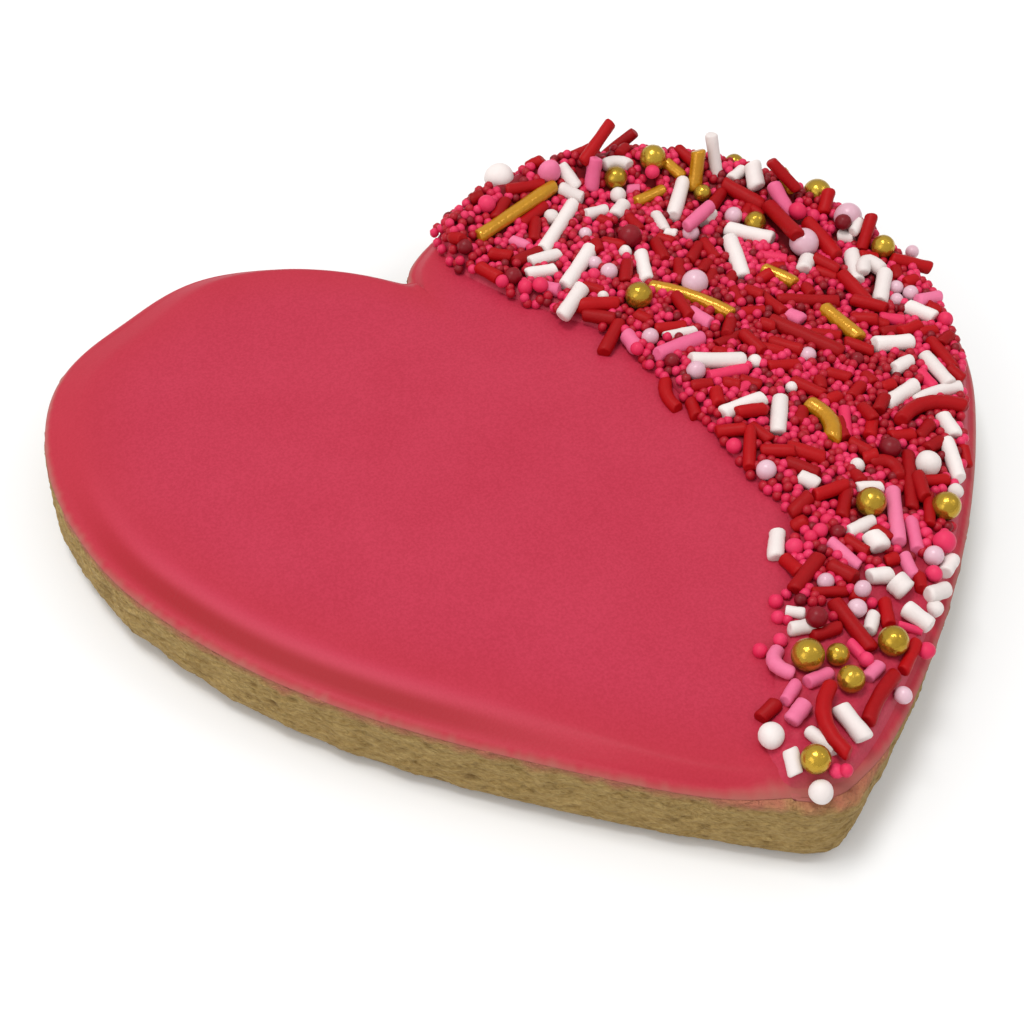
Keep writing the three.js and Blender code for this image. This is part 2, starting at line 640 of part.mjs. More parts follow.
function icingGeometry() {
  const parts = [icingSkinGeometry(), bedGeometry(), ...sprinkleGeometries()];
  const joined = largestPiece(wasm.Manifold.union(parts.map(toManifold)));
  return toGeometry(largestPiece(joined.simplify(FINEST_DETAIL)));
}

// ---- The cookie ----

function addPart(group, name, geometry, material) {
  geometry.computeVertexNormals();
  const mesh = new THREE.Mesh(geometry, material);
  mesh.name = name;
  mesh.position.set(-OUTER_BOX_MIDDLE.x, -OUTER_BOX_MIDDLE.y, 0);
  group.add(mesh);
}

const bakedDough = new THREE.MeshStandardMaterial({ color: '#a3875c', roughness: 0.9, metalness: 0 });
const coralIcing = new THREE.MeshStandardMaterial({ color: '#c94354', roughness: 0.5, metalness: 0 });

const cookie = new THREE.Group();
addPart(cookie, 'cookie', doughGeometry(), bakedDough);
addPart(cookie, 'icing', icingGeometry(), coralIcing);

export default cookie;
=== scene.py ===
"""Looks of a heart-shaped iced sugar cookie with a crescent of mixed sprinkles.

Shapes are worked out in millimetres on the cookie's own drawing (tip of the heart at -Y) and
moved to the frame, in metres, as the last step of each piece.
"""

import math

import bpy
import numpy as np
from mathutils import Matrix


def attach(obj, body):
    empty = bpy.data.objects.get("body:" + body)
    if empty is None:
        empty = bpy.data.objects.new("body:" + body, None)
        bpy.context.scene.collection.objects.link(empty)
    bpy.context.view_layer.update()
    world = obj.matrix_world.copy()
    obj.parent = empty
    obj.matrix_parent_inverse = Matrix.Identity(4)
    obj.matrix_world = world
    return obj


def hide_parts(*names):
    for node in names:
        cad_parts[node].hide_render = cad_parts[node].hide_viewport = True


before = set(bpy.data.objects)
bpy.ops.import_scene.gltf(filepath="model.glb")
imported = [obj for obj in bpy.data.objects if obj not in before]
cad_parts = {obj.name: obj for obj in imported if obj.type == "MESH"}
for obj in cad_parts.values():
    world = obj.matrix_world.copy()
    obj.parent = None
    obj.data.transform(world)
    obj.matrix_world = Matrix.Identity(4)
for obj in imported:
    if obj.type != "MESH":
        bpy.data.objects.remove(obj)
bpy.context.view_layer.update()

MM = 0.001

# ---- The heart, as the solids have it (mm) ----

RIGHT_LOBE = {"x": 19.7, "y": -3.0, "radius": 30.8, "turn": 38.2}
LEFT_LOBE = {"x": -20.2, "y": 3.0, "radius": 25.2, "turn": 25.4}
TIP = np.array([1.1, -56.1])
CORNER_SOFTENING = 1.7
# place round the rim from the tip (0 to 1), how far out, over what share of the rim
RIM_WANDER = [
    (0.43, 0.6, 0.04), (0.6, 1.1, 0.05), (0.593, 0.35, 0.012), (0.627, -0.5, 0.012),
    (0.665, 0.5, 0.015), (0.735, -0.85, 0.025), (0.82, 0.5, 0.03), (0.915, -0.35, 0.025),
    (0.99, 0.5, 0.012),
]
MIDDLE = np.array([0.0, -6.0])
# points along each arc, round the whole rim, between two knots, and along the sprinkles' edge
ARC_STEPS = 400
FINE_STEPS = 500
SPAN_STEPS = 40
EDGE_STEPS = 50

DOUGH_TOP = 7.8
DOUGH_SHOULDER = 1.0
DOUGH_FOOT = 2.1
LEFT_FOOT = {"radius": 3.3, "at": 0.76, "over": 0.045}
ICING_TOP = 9.4
ICING_LIP = 0.6
ICING_LIP_WIDTH = 0.7
CREST_ROUNDING = 0.22
CLEARANCE = 0.3
BROAD_SLOPE = 3.8
TIGHT_SLOPE = 1.9
BROAD_BETWEEN = ((0.56, 0.64), (0.88, 0.97))
BARE_TIP = {"width": 1.4, "at": 0.995, "over": 0.014}

SPRINKLE_EDGE = np.array([
    (4.5, 23.5), (4.2, 17.5), (6.5, 12), (10, 6.5), (13.3, 1.5), (14.3, -5), (15, -13),
    (14.6, -20), (15.2, -26), (12.8, -31), (9, -35.5), (4.5, -40), (0.5, -44.5), (-3, -48.5), (-2.6, -54.8),
])
BED_HEIGHT = 1.0
BED_RUN = 1.6
# on the far side they are heaped in a ridge, at this place and distance inside the rim
RIDGE = {"height": 2.4, "at": 0.4, "along": 0.08, "inset": 3.0, "over": 2.5}
RIM_MARGIN = 0.6
OVERHANG_HOLD = 1.5
SINK = 0.4
END_GIRTH = 0.4

OUTER_BOX_MIDDLE = np.array([3.09, -13.18])

# ---- The sprinkles that stand out (mm) ----

# They are drawn obliquely: each place is given on the plane z = LEVEL, and a piece that comes to
# rest higher or lower really lies further along the line from there to EYE.
LEVEL = 10.9
EYE = np.array([-73.5, -108.6, 133.9])
SETTLE_ROUNDS = 16
# points along a rod that its length is measured with
MEASURING_POINTS = 60

# in the two layers in which they fell, by kind
# rods: x, y of both ends and the radius, then sideways bow of the middle and lift of each end
RODS = [
    {
        "gold": [
            (34.1, 22.3, 34.5, 19, 0.7), (26.8, 17.4, 31.1, 18, 0.7), (33.2, 1.9, 35, -1.7, 0.8),
            (44.4, 11.7, 45.4, 14.9, 0.7, 0, 0, 1),
        ],
        "white": [
            (22.9, 26.9, 22.5, 22.5, 0.8), (20.7, 23.3, 22, 20.5, 0.8),
            (20.6, 17.9, 23.3, 17.7, 0.75), (11, 13.8, 14.7, 13.5, 0.75),
            (9.7, 12.2, 13, 11.5, 0.75), (27.4, 24.6, 30.1, 23.3, 0.75, 0.7),
            (25.9, 17.9, 23.6, 16.4, 0.85), (27.9, 14.8, 27.2, 11.7, 0.7),
            (26.8, 11.5, 28, 10.7, 0.7), (33.8, 12.3, 31.8, 11.2, 0.85),
            (41, 13.7, 43.2, 17.7, 1, 0, 0, 1), (44.2, 2.8, 45.6, 1.7, 0.75),
            (46.1, 2.6, 48.1, 3.8, 0.65), (38.9, 1.2, 37, -0.3, 0.9), (43.8, -0.1, 41.1, -4.5, 0.9),
            (43.5, -9.8, 45.2, -12.7, 0.85), (36.5, -13.1, 40.5, -14.6, 0.9),
            (36, -17.1, 38.6, -16.8, 0.8), (35.1, -21.9, 40.8, -22.3, 0.75, 0.4),
            (36.3, -24.5, 35.6, -27.5, 0.8), (34.4, -27.5, 32, -32.3, 0.75),
            (17.5, -2.5, 21, -3.2, 0.65), (12.1, -29.6, 9.9, -32.2, 0.8),
            (24.9, -39.8, 22.9, -40.9, 0.75), (17.9, -32.8, 21.1, -32.7, 0.7),
            (16.3, -38, 18.4, -38.8, 0.8), (19.8, -42.3, 22, -42.5, 0.8),
            (14, -41.7, 12.3, -43.2, 0.65), (7, -37.7, 8.4, -38.8, 0.55),
        ],
        "pink": [
            (23.7, 21.5, 27.4, 26.4, 0.85, 0, -0.4, 2), (29.7, 11.4, 34.5, 13.4, 0.75),
            (41.3, 7.6, 43.1, 13.5, 0.85, 0, 0, 1.5), (45, -9.8, 47.8, -10.3, 0.8),
            (22.1, -0.4, 22.9, -3.2, 0.85), (15.2, -4.4, 21, -4.3, 0.85),
            (14.2, -0.3, 14, -2.7, 0.85), (25.2, -30.4, 21.4, -36.1, 0.75),
            (24.4, -34.2, 22.4, -37.7, 0.65), (20.9, -37.4, 20, -40.1, 0.65),
            (15.7, -32.8, 16.2, -36.7, 0.65), (4, -40.9, 3.4, -43.8, 0.7, -1.1),
            (3.1, -44.7, 0.9, -45.9, 0.6), (3.8, -45.1, 6.4, -45.2, 0.65),
            (10.9, -46.5, 8.8, -47.2, 0.65), (31.1, -5.2, 32, -7, 0.9),
        ],
        "rose": [
            (10, -43.2, 10, -45.4, 0.55), (15.2, -43.7, 16.6, -45.4, 0.4),
        ],
        "red": [
            (5.8, 15.6, 6.9, 12.8, 0.75), (13.3, 19.5, 17.5, 21.3, 0.7), (11.9, 5.6, 16, 4, 0.85),
            (10.5, -1.7, 14.6, 1.5, 0.75), (23.4, 27.2, 28, 28, 0.7, 0, 0, 2),
            (25.5, 26.1, 32.7, 31.3, 0.7, 0, -0.5, 3.5), (28.2, 26, 34.2, 28.5, 0.7, 0, -0.3, 2.5),
            (37.9, 16.2, 39.7, 10.7, 0.85), (40.3, 10.6, 40.1, 4.7, 0.85),
            (45, 11.4, 45.4, 17.2, 0.65, 0, 0, 2.5), (45, 6.6, 48.3, 9.8, 0.75, 0, 0, 1.5),
            (42.4, 6.3, 41.8, -0.2, 0.95), (40.5, -2.4, 40.2, -7.5, 0.8),
            (31.6, -2.9, 37.5, -6.2, 0.75), (28.8, -5.1, 32.8, -12.7, 0.9),
            (20.6, 9.3, 18.5, 6.5, 0.75), (35.5, -28.8, 34, -31.2, 0.6),
            (25.5, -26.5, 26.6, -29.6, 0.75, 1.4), (42.5, -15.2, 41.8, -20, 0.7),
            (29.8, -27.1, 25.3, -33.3, 0.7), (28.1, -32.3, 25.6, -35.6, 0.55),
            (14.1, -7.9, 12.9, -11.9, 0.7, -0.6), (17.8, -11.3, 16.7, -13.3, 0.75),
            (17.8, -17.3, 14.4, -21.8, 0.65), (19.5, -21.2, 21.9, -24.2, 0.85),
            (14.4, -28.5, 17.7, -27.3, 0.75), (13.8, -33.9, 9.1, -36.1, 0.75),
            (17.2, -33.3, 18.1, -35.8, 0.65), (13.9, -35.2, 15.1, -37.7, 0.8),
            (15.5, -46, 12.2, -48.1, 0.6), (-2.1, -46.3, 0.3, -45.6, 0.7),
            (11.5, -48, 6, -51, 0.7, -0.3),
        ],
    },
    {
        "gold": [
            (8.2, 19.8, 20.5, 24, 0.8), (34.3, 16.5, 39, 22.4, 0.8, 0, -0.4, 2.5),
            (35.3, -6.1, 35.9, -11.8, 0.85), (20.4, 4.8, 25.9, -2.9, 0.8, 0.7),
            (25, -17, 24, -22.4, 0.9, 1.1),
        ],
        "white": [
            (20.7, 20.3, 13.3, 14.7, 0.8), (18.3, 12.9, 12.4, 8.7, 0.85), (14.2, 8, 9.6, 4.8, 0.85),
            (34.1, 18.4, 29.3, 13.4, 0.85), (38.5, 17.9, 42.1, 24.4, 0.7, 0, -0.8, 4),
            (42.8, -3.5, 45, -4.3, 0.85, 1.7), (45.1, -4.4, 41.3, -8.2, 0.85),
            (40.4, -16.6, 40, -21.4, 0.75), (32.1, -20.8, 36.7, -19.9, 0.85),
            (22.7, 9.9, 20.7, 5.6, 0.8), (17.8, -6.6, 22.9, -9.1, 0.9), (33.5, 9.2, 37.2, 5.4, 0.9),
            (33, 7.9, 30.5, 1.7, 0.9), (16.4, -14.4, 21.5, -14.5, 0.85),
            (23.1, -15.1, 19.8, -19.1, 0.85), (18.1, -24.7, 19.1, -26.6, 0.8),
            (19.7, -33.9, 19.6, -35.9, 1.05), (18.2, -39.3, 18.3, -41.1, 1.15),
            (17, -42.4, 17.7, -45.3, 0.85), (6, -39.6, 9, -40.4, 0.7),
            (4.8, -48.4, 4.7, -52.3, 0.85), (0.9, -49.2, 1.7, -52.1, 0.65),
            (-1.6, -50, -2.8, -52.4, 0.7),
        ],
        "pink": [
            (0.1, -47.8, 2.5, -46.8, 0.8),
        ],
        "red": [
            (45, -0.3, 50, 4.1, 0.7, 0, 0, 2.5), (47, -2.9, 50.1, -6.1, 0.75),
            (31.9, -23.3, 39.3, -24.6, 0.8, 1.5), (11.6, -38.8, 11.2, -44.9, 0.75),
            (5.7, -46.2, 2.5, -52.9, 0.7, -1.4),
        ],
    },
]
# balls: x, y, radius
BALLS = [
    {
        "gold": [
            (27.4, 22.1, 1.3), (33.3, 23.4, 1.5), (41.2, 18.5, 1.15), (37.2, 8.8, 1.2),
            (46.7, 10, 1.6), (47.6, -0.9, 1.3), (18.7, 4.1, 1.45), (22.4, -30.7, 1.45),
            (28.6, -34.4, 1.4), (5.8, -42.7, 1.5), (8.2, -43.9, 1.05), (13.6, -45, 1.4),
            (-0.3, -51.9, 1.3),
        ],
        "white": [
            (15.4, 27.6, 1.65), (17.2, 19.3, 0.85), (26, 19.4, 0.9), (30.6, -29.2, 1.3),
            (-2.2, -48.2, 1.15), (-1.8, -54.7, 1.05),
        ],
        "pearl": [
            (17.9, 8.7, 0.95), (25.3, 3.3, 1.4), (17.6, -8.1, 1), (16.2, -1.8, 0.9),
            (29.6, 10.3, 0.95), (35.6, 10.7, 1), (47.3, 5, 1.55), (40, 3.5, 1.6),
            (45.4, -8.4, 0.85), (29.4, -11.3, 0.85), (15.8, -22.7, 1), (23.4, -38.8, 0.95),
            (13, -40.5, 0.9),
        ],
        "pink": [
            (21.2, 26.4, 1.25),
        ],
        "wine": [
            (28.6, -25.8, 1.1), (23.2, 12.8, 1.3),
        ],
    },
    {
        "gold": [
            (34.8, 15.6, 1), (7.6, -46.6, 1.25),
        ],
    },
]
# loose beads and small pearls, and rods that lie low between the others, drawn in the same way
BEADS = {
    "rose": [
        (11.9, 24.3, 1), (6.9, 12.4, 0.7), (8.6, 10.5, 0.85), (10.2, 10.1, 0.85),
        (12.4, -31.9, 0.9), (15.7, -31.4, 0.75), (17.1, -30.6, 0.65), (14.5, -31.6, 0.65),
        (42.7, 8.3, 1), (43.8, 6.8, 0.8), (6.9, -36.4, 0.7), (6, -38, 0.65), (4.6, -40.2, 0.65),
        (2.3, -40.3, 0.7), (10.1, -45.5, 0.7), (15.6, -47.2, 0.8), (22, -40.5, 0.8),
        (0.5, -53.7, 0.65), (1.3, -54, 0.6), (24.6, -36.2, 0.6), (23.7, -37.3, 0.55),
        (14.9, -18.6, 0.8), (46, -13.4, 0.85), (14.6, -40.6, 0.55), (31.8, 21.3, 0.8),
        (31.5, 9.8, 0.75), (25.5, -37.9, 1.1), (16.2, 9, 0.75), (14, -2.7, 0.7),
    ],
    "wine": [
        (9, -37.3, 0.6), (33.6, -14.1, 0.75), (16.2, -5.8, 0.8), (7, 24, 0.7), (6.1, 19, 0.85),
        (8.3, 12.6, 0.95), (46.2, 4.5, 0.9), (17.1, -32.3, 0.75), (9.1, -39.6, 1),
    ],
    "white": [
        (21.3, 10.8, 0.75), (15.2, 5.6, 0.65), (24.9, -14.5, 0.65), (30.7, -33.3, 0.75),
        (37, -9.3, 0.5), (24.2, -26.2, 0.75), (23.8, -9.7, 0.75), (19.4, -43.8, 0.8),
    ],
    "pearl": [
        (17.3, 10.6, 0.8), (19, 15.2, 0.75), (44.5, -7, 0.8), (43.3, -8.6, 0.75),
        (12.4, -36.6, 0.8), (14.9, -38.9, 0.8), (10.6, -50.1, 0.8), (50, -3, 0.75),
    ],
}
LOW_RODS = {
    "white": [
        (39.6, 16.8, 41.2, 16.7, 0.7), (22.2, -28.6, 24.5, -29.7, 0.7),
    ],
    "pink": [
        (27.3, 19.8, 29, 19.6, 0.65), (10.3, 9.7, 11.6, 8.4, 0.75), (12.2, 16, 11.1, 17.9, 0.65),
    ],
    "rose": [
        (18.1, -9.4, 22.4, -10.3, 0.7), (38.3, -18.4, 38.1, -21.1, 0.65),
        (28, -19.2, 25.5, -22.7, 0.65), (36.6, 1.9, 34.2, 3.8, 0.65),
        (39.8, -10.1, 41.9, -11.8, 0.7), (19.5, -12.5, 21.2, -12.2, 0.65),
    ],
    "red": [
        (7.8, 16.9, 9.8, 15.3, 0.75), (15.1, 25.6, 20.1, 25.4, 0.7), (11.4, 3.8, 14.3, 1.7, 0.75),
        (21.5, -5.9, 25.7, -5.8, 0.65), (25.3, -8, 27.4, -10, 0.7), (29.5, -21.9, 27.6, -23.8, 0.7),
        (28.4, -30.7, 31, -31.8, 0.65), (15.5, -10.2, 18.1, -10.5, 0.7),
        (14.5, -11.6, 13.8, -13.8, 0.7), (18.2, -22.7, 20.1, -25.6, 0.75),
        (13.5, -30, 15.5, -29.8, 0.75), (10.6, -32.5, 10.9, -34.7, 0.7),
        (10.4, -37.1, 13.5, -38.5, 0.55), (7.3, -41.2, 10.3, -41.5, 0.65),
        (15.8, -40.9, 14.3, -43.5, 0.65), (18.8, -37.3, 20.3, -37.4, 0.65),
        (20.6, -39.9, 19.7, -41.6, 0.65), (25.2, 10.8, 24.3, 7.5, 0.75),
        (29.3, 8.2, 26.7, 6.3, 0.7), (26.4, -20.3, 25.3, -22.9, 0.7),
        (31.7, -17.4, 29.4, -18.4, 0.7), (38.5, 11.5, 36.6, 10.1, 0.7),
        (16.5, 1.8, 17.5, 0.1, 0.75), (20.7, -11.1, 22.2, -12.9, 0.7), (41, -12.8, 38.3, -12, 0.7),
        (14.3, -40, 13.5, -38.8, 0.65),
    ],
}

# each job draws its random numbers from a seed of its own
SEEDS = {"places": 14, "rod_shapes": 17, "wall": 21, "icing_edge": 23, "tones": 114}

# what only shows close up: shorter red rods, and the fine beads (nonpareils); each rests no
# higher than its lift over the bed, and beads a little higher where they lie thickest
HEAP_ROOM = 12000
SHORT_RODS = 75
SHORT_ROD_LENGTH = (1.6, 4.2)
SHORT_ROD_RADIUS = 0.7
SHORT_ROD_LIFT = 0.65
SHORT_ROD_TRIES = 12000
# how far a short rod's middle and the rest of it stay inside the sprinkles' region
SHORT_ROD_INSETS = (0.8, 0.3)
FINE_BEAD_RADIUS = 0.54
FINE_BEAD_LIFT = 0.32
FINE_BEAD_INSET = 0.4
FINE_BEAD_TRIES = 30000
PILE = {"x": 28, "y": -2, "over": 9, "lift": 0.25}
# along the right side the icing is bare for this far inside the rim, and towards the tip there
# are no fine pieces: none below the first y, few below the second
BARE_RIM = 1.8
BARE_BETWEEN = ((0.02, 0.06), (0.31, 0.36))
THINNING = (-42, -33)
# where they thin out, they go in patches: radians per mm of their waves in x and y
PATCHES = (1.9, 2.3)
# none cover the white ball at the cleft end: x, y and radius
CLEAR_SPOT = (14.8, 26.0, 2.3)


# ---- Random numbers, the same each time ----

def make_random(seed):
    """Draws between 0 and 1: each state is the last one times 16807, modulo 2^31 - 1."""
    state = seed

    def draw():
        nonlocal state
        state = (state * 16807) % 2147483647
        return state / 2147483647

    return draw


def bell(value):
    """Bell curve: e to the minus half the square."""
    return np.exp(-0.5 * np.square(value))


def ease(value, low, high):
    """0 below low, 1 above high, with the smooth step 3t^2 - 2t^3 between."""
    t = np.clip((value - low) / (high - low), 0, 1)
    return t * t * (3 - 2 * t)


def within(limits, share):
    """The value that share of the way from one limit to the other."""
    low, high = limits
    return low + (high - low) * share


def ripples(points, height, rates, phases):
    """A wave in x times a wave in y, with these rates (radians per mm) and phases."""
    return height * np.sin(points[..., :2] * rates + phases).prod(-1)


# ---- The outline ----

def half_heart(lobe, side):
    """Tip to cleft along one half: a long arc from the tip that meets the lobe's circle
    smoothly, then the circle as far as the middle line."""
    centre = np.array([lobe["x"] * side, lobe["y"]])
    tip = TIP * (side, 1)
    turn = math.radians(lobe["turn"])
    outward = np.array([math.cos(turn), -math.sin(turn)])
    handover = centre + lobe["radius"] * outward
    chord = handover - tip
    side_radius = chord @ chord / (2 * chord @ outward)
    side_centre = handover - side_radius * outward
    start = math.atan2(*(tip - side_centre)[::-1])
    cleft = math.pi - math.acos(centre[0] / lobe["radius"])
    a = np.linspace(start, -turn, ARC_STEPS)
    b = np.linspace(-turn, cleft, ARC_STEPS)
    side_arc = side_centre + side_radius * np.c_[np.cos(a), np.sin(a)]
    lobe_arc = centre + lobe["radius"] * np.c_[np.cos(b), np.sin(b)]
    return np.vstack([side_arc[:-1], lobe_arc]) * (side, 1)


def at_equal_steps(curve, wanted_shares):
    """Points at those shares of the curve's length."""
    lengths = np.r_[0, np.cumsum(np.hypot(*np.diff(curve, axis=0).T))]
    wanted = wanted_shares * lengths[-1]
    return np.c_[np.interp(wanted, lengths, curve[:, 0]), np.interp(wanted, lengths, curve[:, 1])]


def spaced_evenly(loop, count):
    """The closed loop again, as that many points at equal steps along it."""
    return at_equal_steps(np.vstack([loop, loop[:1]]), np.arange(count) / count)


def outward_normals(loop):
    """Unit vectors square to the way from each point's last to its next neighbour."""
    along = np.roll(loop, -1, 0) - np.roll(loop, 1, 0)
    along /= np.hypot(*along.T)[:, None]
    return np.c_[along[:, 1], -along[:, 0]]


def softened(loop, spread):
    """Each point averaged with its neighbours under a bell curve, which rounds the corners."""
    reach = math.ceil(3 * spread)
    steps = np.arange(-reach, reach + 1)
    weights = bell(steps / spread)
    return sum(w * np.roll(loop, -k, 0) for k, w in zip(steps, weights)) / weights.sum()


def rim_gap(a, b):
    """Shortest way round from one place on the rim to another, both 0 to 1."""
    gap = np.abs(a - b) % 1
    return np.minimum(gap, 1 - gap)


def heart_outline():
    """Both halves joined, their corners softened, then pushed out where the rim wanders."""
    right = half_heart(RIGHT_LOBE, 1)
    left = half_heart(LEFT_LOBE, -1)[::-1][:-1]
    even = spaced_evenly(np.vstack([right, left]), FINE_STEPS)
    step = np.hypot(*(even[1] - even[0]))
    smooth = softened(even, CORNER_SOFTENING / step)
    at = np.arange(FINE_STEPS) / FINE_STEPS
    out = sum(amount * bell(rim_gap(at, place) / over) for place, amount, over in RIM_WANDER)
    return smooth + out[:, None] * outward_normals(smooth)


OUTLINE = heart_outline()


# ---- Heights ----

def inside_loop(points, loop):
    """Even-odd rule: how many edges a ray to the right of each point crosses."""
    x, y = points[:, :1], points[:, 1:]
    a, b = loop, np.roll(loop, -1, 0)
    crosses = (a[:, 1] > y) != (b[:, 1] > y)
    rise = np.where(b[:, 1] == a[:, 1], 1, b[:, 1] - a[:, 1])
    left_of = x < (b[:, 0] - a[:, 0]) * (y - a[:, 1]) / rise + a[:, 0]
    return (crosses & left_of).sum(1) % 2 == 1


def depth_inside(points, loop):
    """Distance to the loop's nearest point, negative outside, and which point that is."""
    gaps = np.hypot(points[:, :1] - loop[:, 0], points[:, 1:] - loop[:, 1])
    nearest = gaps.argmin(1)
    gap = gaps[np.arange(len(points)), nearest]
    return np.where(inside_loop(points, loop), gap, -gap), nearest


def smooth_depth(points, loop):
    """The same measured to the two edges that meet at the nearest point, with the place as a
    fraction between two points, so that both run smoothly along the loop."""
    depth, nearest = depth_inside(points, loop)
    away = points - loop[nearest]
    gaps, places = [], []
    for step in (-1, 1):
        edge = loop[(nearest + step) % len(loop)] - loop[nearest]
        share = np.clip((away * edge).sum(1) / (edge ** 2).sum(1), 0, 1)
        gaps.append(np.hypot(*(away - share[:, None] * edge).T))
        places.append(nearest + step * share)
    return np.sign(depth) * np.minimum(*gaps), np.where(gaps[0] < gaps[1], *places)


def between(value, start, end):
    """1 between two stretches, easing in along the first and out along the second."""
    return ease(value, *start) * (1 - ease(value, *end))


def slope_width(at):
    """How far in the icing climbs to its flat: broad on two stretches, tight elsewhere."""
    return within((TIGHT_SLOPE, BROAD_SLOPE), between(at, *BROAD_BETWEEN))


def dough_foot(at):
    """Radius of the rounded lower edge, fuller round the left lobe."""
    left = bell(rim_gap(at, LEFT_FOOT["at"]) / LEFT_FOOT["over"])
    return within((DOUGH_FOOT, LEFT_FOOT["radius"]), left)


def tip_share(at):
    """1 at the tip, falling off over the stretch where the icing stays back from the rim."""
    return bell(rim_gap(at, BARE_TIP["at"]) / BARE_TIP["over"])


def icing_setback(at):
    """How far the icing stays back from the rim."""
    return BARE_TIP["width"] * tip_share(at)


def dough_height(inset, grown):
    """Flat top with a quarter-round shoulder, thickened by "grown"."""
    across = np.maximum(DOUGH_SHOULDER - inset, 0)
    radius = DOUGH_SHOULDER + grown
    return DOUGH_TOP - DOUGH_SHOULDER + np.sqrt(np.maximum(radius ** 2 - across ** 2, 0))


def icing_height(inset, at):
    """A rounded lip, then a slope up to the flat."""
    setback = icing_setback(at)
    edge = dough_height(setback, CLEARANCE)
    run = np.maximum(inset - setback, 0)
    lip = ICING_LIP * np.sin(np.minimum(run / ICING_LIP_WIDTH, 1) * math.pi / 2)
    climb = np.maximum((run - ICING_LIP_WIDTH) / (slope_width(at) - ICING_LIP_WIDTH), 0)
    # the lesser of the climb and 1, with the corner between them rounded
    rounded = np.sqrt((climb - 1) ** 2 + CREST_ROUNDING ** 2)
    start = (1 - math.hypot(1, CREST_ROUNDING)) / 2
    slope = ((climb + 1 - rounded) / 2 - start) / (1 - start)
    return edge + lip + (ICING_TOP - edge - ICING_LIP) * slope


def spline_points(knots, count):
    """A Catmull-Rom curve through the knots, as count + 1 points at equal steps."""
    padded = np.vstack([knots[:1], knots, knots[-1:]])
    t = np.linspace(0, 1, SPAN_STEPS, endpoint=False)[:, None]
    spans = []
    for p0, p1, p2, p3 in zip(padded, padded[1:], padded[2:], padded[3:]):
        v0, v1 = (p2 - p0) / 2, (p3 - p1) / 2
        cubic, square = 2 * p1 - 2 * p2 + v0 + v1, 3 * p2 - 3 * p1 - 2 * v0 - v1
        spans.append(cubic * t ** 3 + square * t ** 2 + v0 * t + p1)
    return at_equal_steps(np.vstack([*spans, knots[-1:]]), np.linspace(0, 1, count + 1))


def sprinkle_rim(count):
    """The rim beside the sprinkles, from the cleft side to the tip, a little inside it."""
    _, ends = depth_inside(SPRINKLE_EDGE[[0, -1]], OUTLINE)
    steps = np.round(np.linspace(ends[0], ends[1] - FINE_STEPS, count + 1)).astype(int) % FINE_STEPS
    return OUTLINE[steps] - RIM_MARGIN * outward_normals(OUTLINE)[steps]


SPRINKLE_REGION = np.vstack([spline_points(SPRINKLE_EDGE, EDGE_STEPS), sprinkle_rim(EDGE_STEPS)[::-1]])


def inside_sprinkles(points):
    """Distance inside the edge of the sprinkles' region, negative outside."""
    return depth_inside(points, SPRINKLE_REGION)[0]


def bed_height(inset, at):
    """The bed over the icing: level, with the ridge on the far side."""
    ridge = bell((inset - RIDGE["inset"]) / RIDGE["over"]) * bell(rim_gap(at, RIDGE["at"]) / RIDGE["along"])
    return BED_HEIGHT + RIDGE["height"] * ridge


def resting_height(points):
    """Icing plus, inside the sprinkles' region, the bed, whose edge eases up over its run. What
    hangs over the rim is held by what lies OVERHANG_HOLD inside it."""
    inset, nearest = depth_inside(points, OUTLINE)
    at = nearest / FINE_STEPS
    held = np.maximum(inset, OVERHANG_HOLD)
    inside = np.where(inset < OVERHANG_HOLD, OVERHANG_HOLD - RIM_MARGIN, inside_sprinkles(points))
    return icing_height(held, at) + bed_height(held, at) * ease(inside, 0, BED_RUN)


def along_sight(drawn, z):
    """Where places drawn on the plane z = LEVEL lie once they are at other heights."""
    share = (np.asarray(z) - LEVEL) / (EYE[2] - LEVEL)
    return drawn + (EYE[:2] - drawn) * share[..., None]


# ---- Meshes ----

def to_frame(points):
    """From the drawing's millimetres to the frame's metres."""
    moved = np.array(points, dtype=float)
    moved[..., :2] -= OUTER_BOX_MIDDLE
    return moved * MM


def make_mesh(name, points, faces, attributes):
    """One smooth object from an array of points in mm, a list of faces and a value per point for
    each attribute."""
    mesh = bpy.data.meshes.new(name)
    mesh.from_pydata(to_frame(points), [], faces)
    mesh.update()
    for key, values in attributes.items():
        layer = mesh.attributes.new(key, "FLOAT", "POINT")
        layer.data.foreach_set("value", np.asarray(values, dtype=np.float32).ravel())
    mesh.shade_smooth()
    piece = bpy.data.objects.new(name, mesh)
    bpy.context.scene.collection.objects.link(piece)
    return piece


def grid_faces(rows, columns, wrap):
    """Quads between the rows of a rows x columns grid of points, joined round if wrap."""
    index = np.arange(rows * columns).reshape(rows, columns)
    right = np.roll(index, -1, 1) if wrap else index[:, 1:]
    left = index if wrap else index[:, :-1]
    return np.stack([left[:-1], right[:-1], right[1:], left[1:]], -1).reshape(-1, 4)


def closed_bodies(name, bodies, rings, attributes):
    """Bodies alike, as one object. Each is a stack of rings and then its two poles: quads join
    the rings, and a fan joins each pole to the first or last ring."""
    count, per_body = bodies.shape[:2]
    sides = (per_body - 2) // rings
    quads = grid_faces(rings, sides, wrap=True)
    side = np.arange(sides)
    after = np.roll(side, -1)
    last = (rings - 1) * sides
    pole = np.full(sides, per_body - 2)
    fans = np.vstack([np.c_[pole, after, side], np.c_[pole + 1, last + side, last + after]])
    shift = (np.arange(count) * per_body)[:, None, None]
    faces = (quads + shift).reshape(-1, 4).tolist() + (fans + shift).reshape(-1, 3).tolist()
    return make_mesh(name, bodies.reshape(-1, 3), faces, attributes)


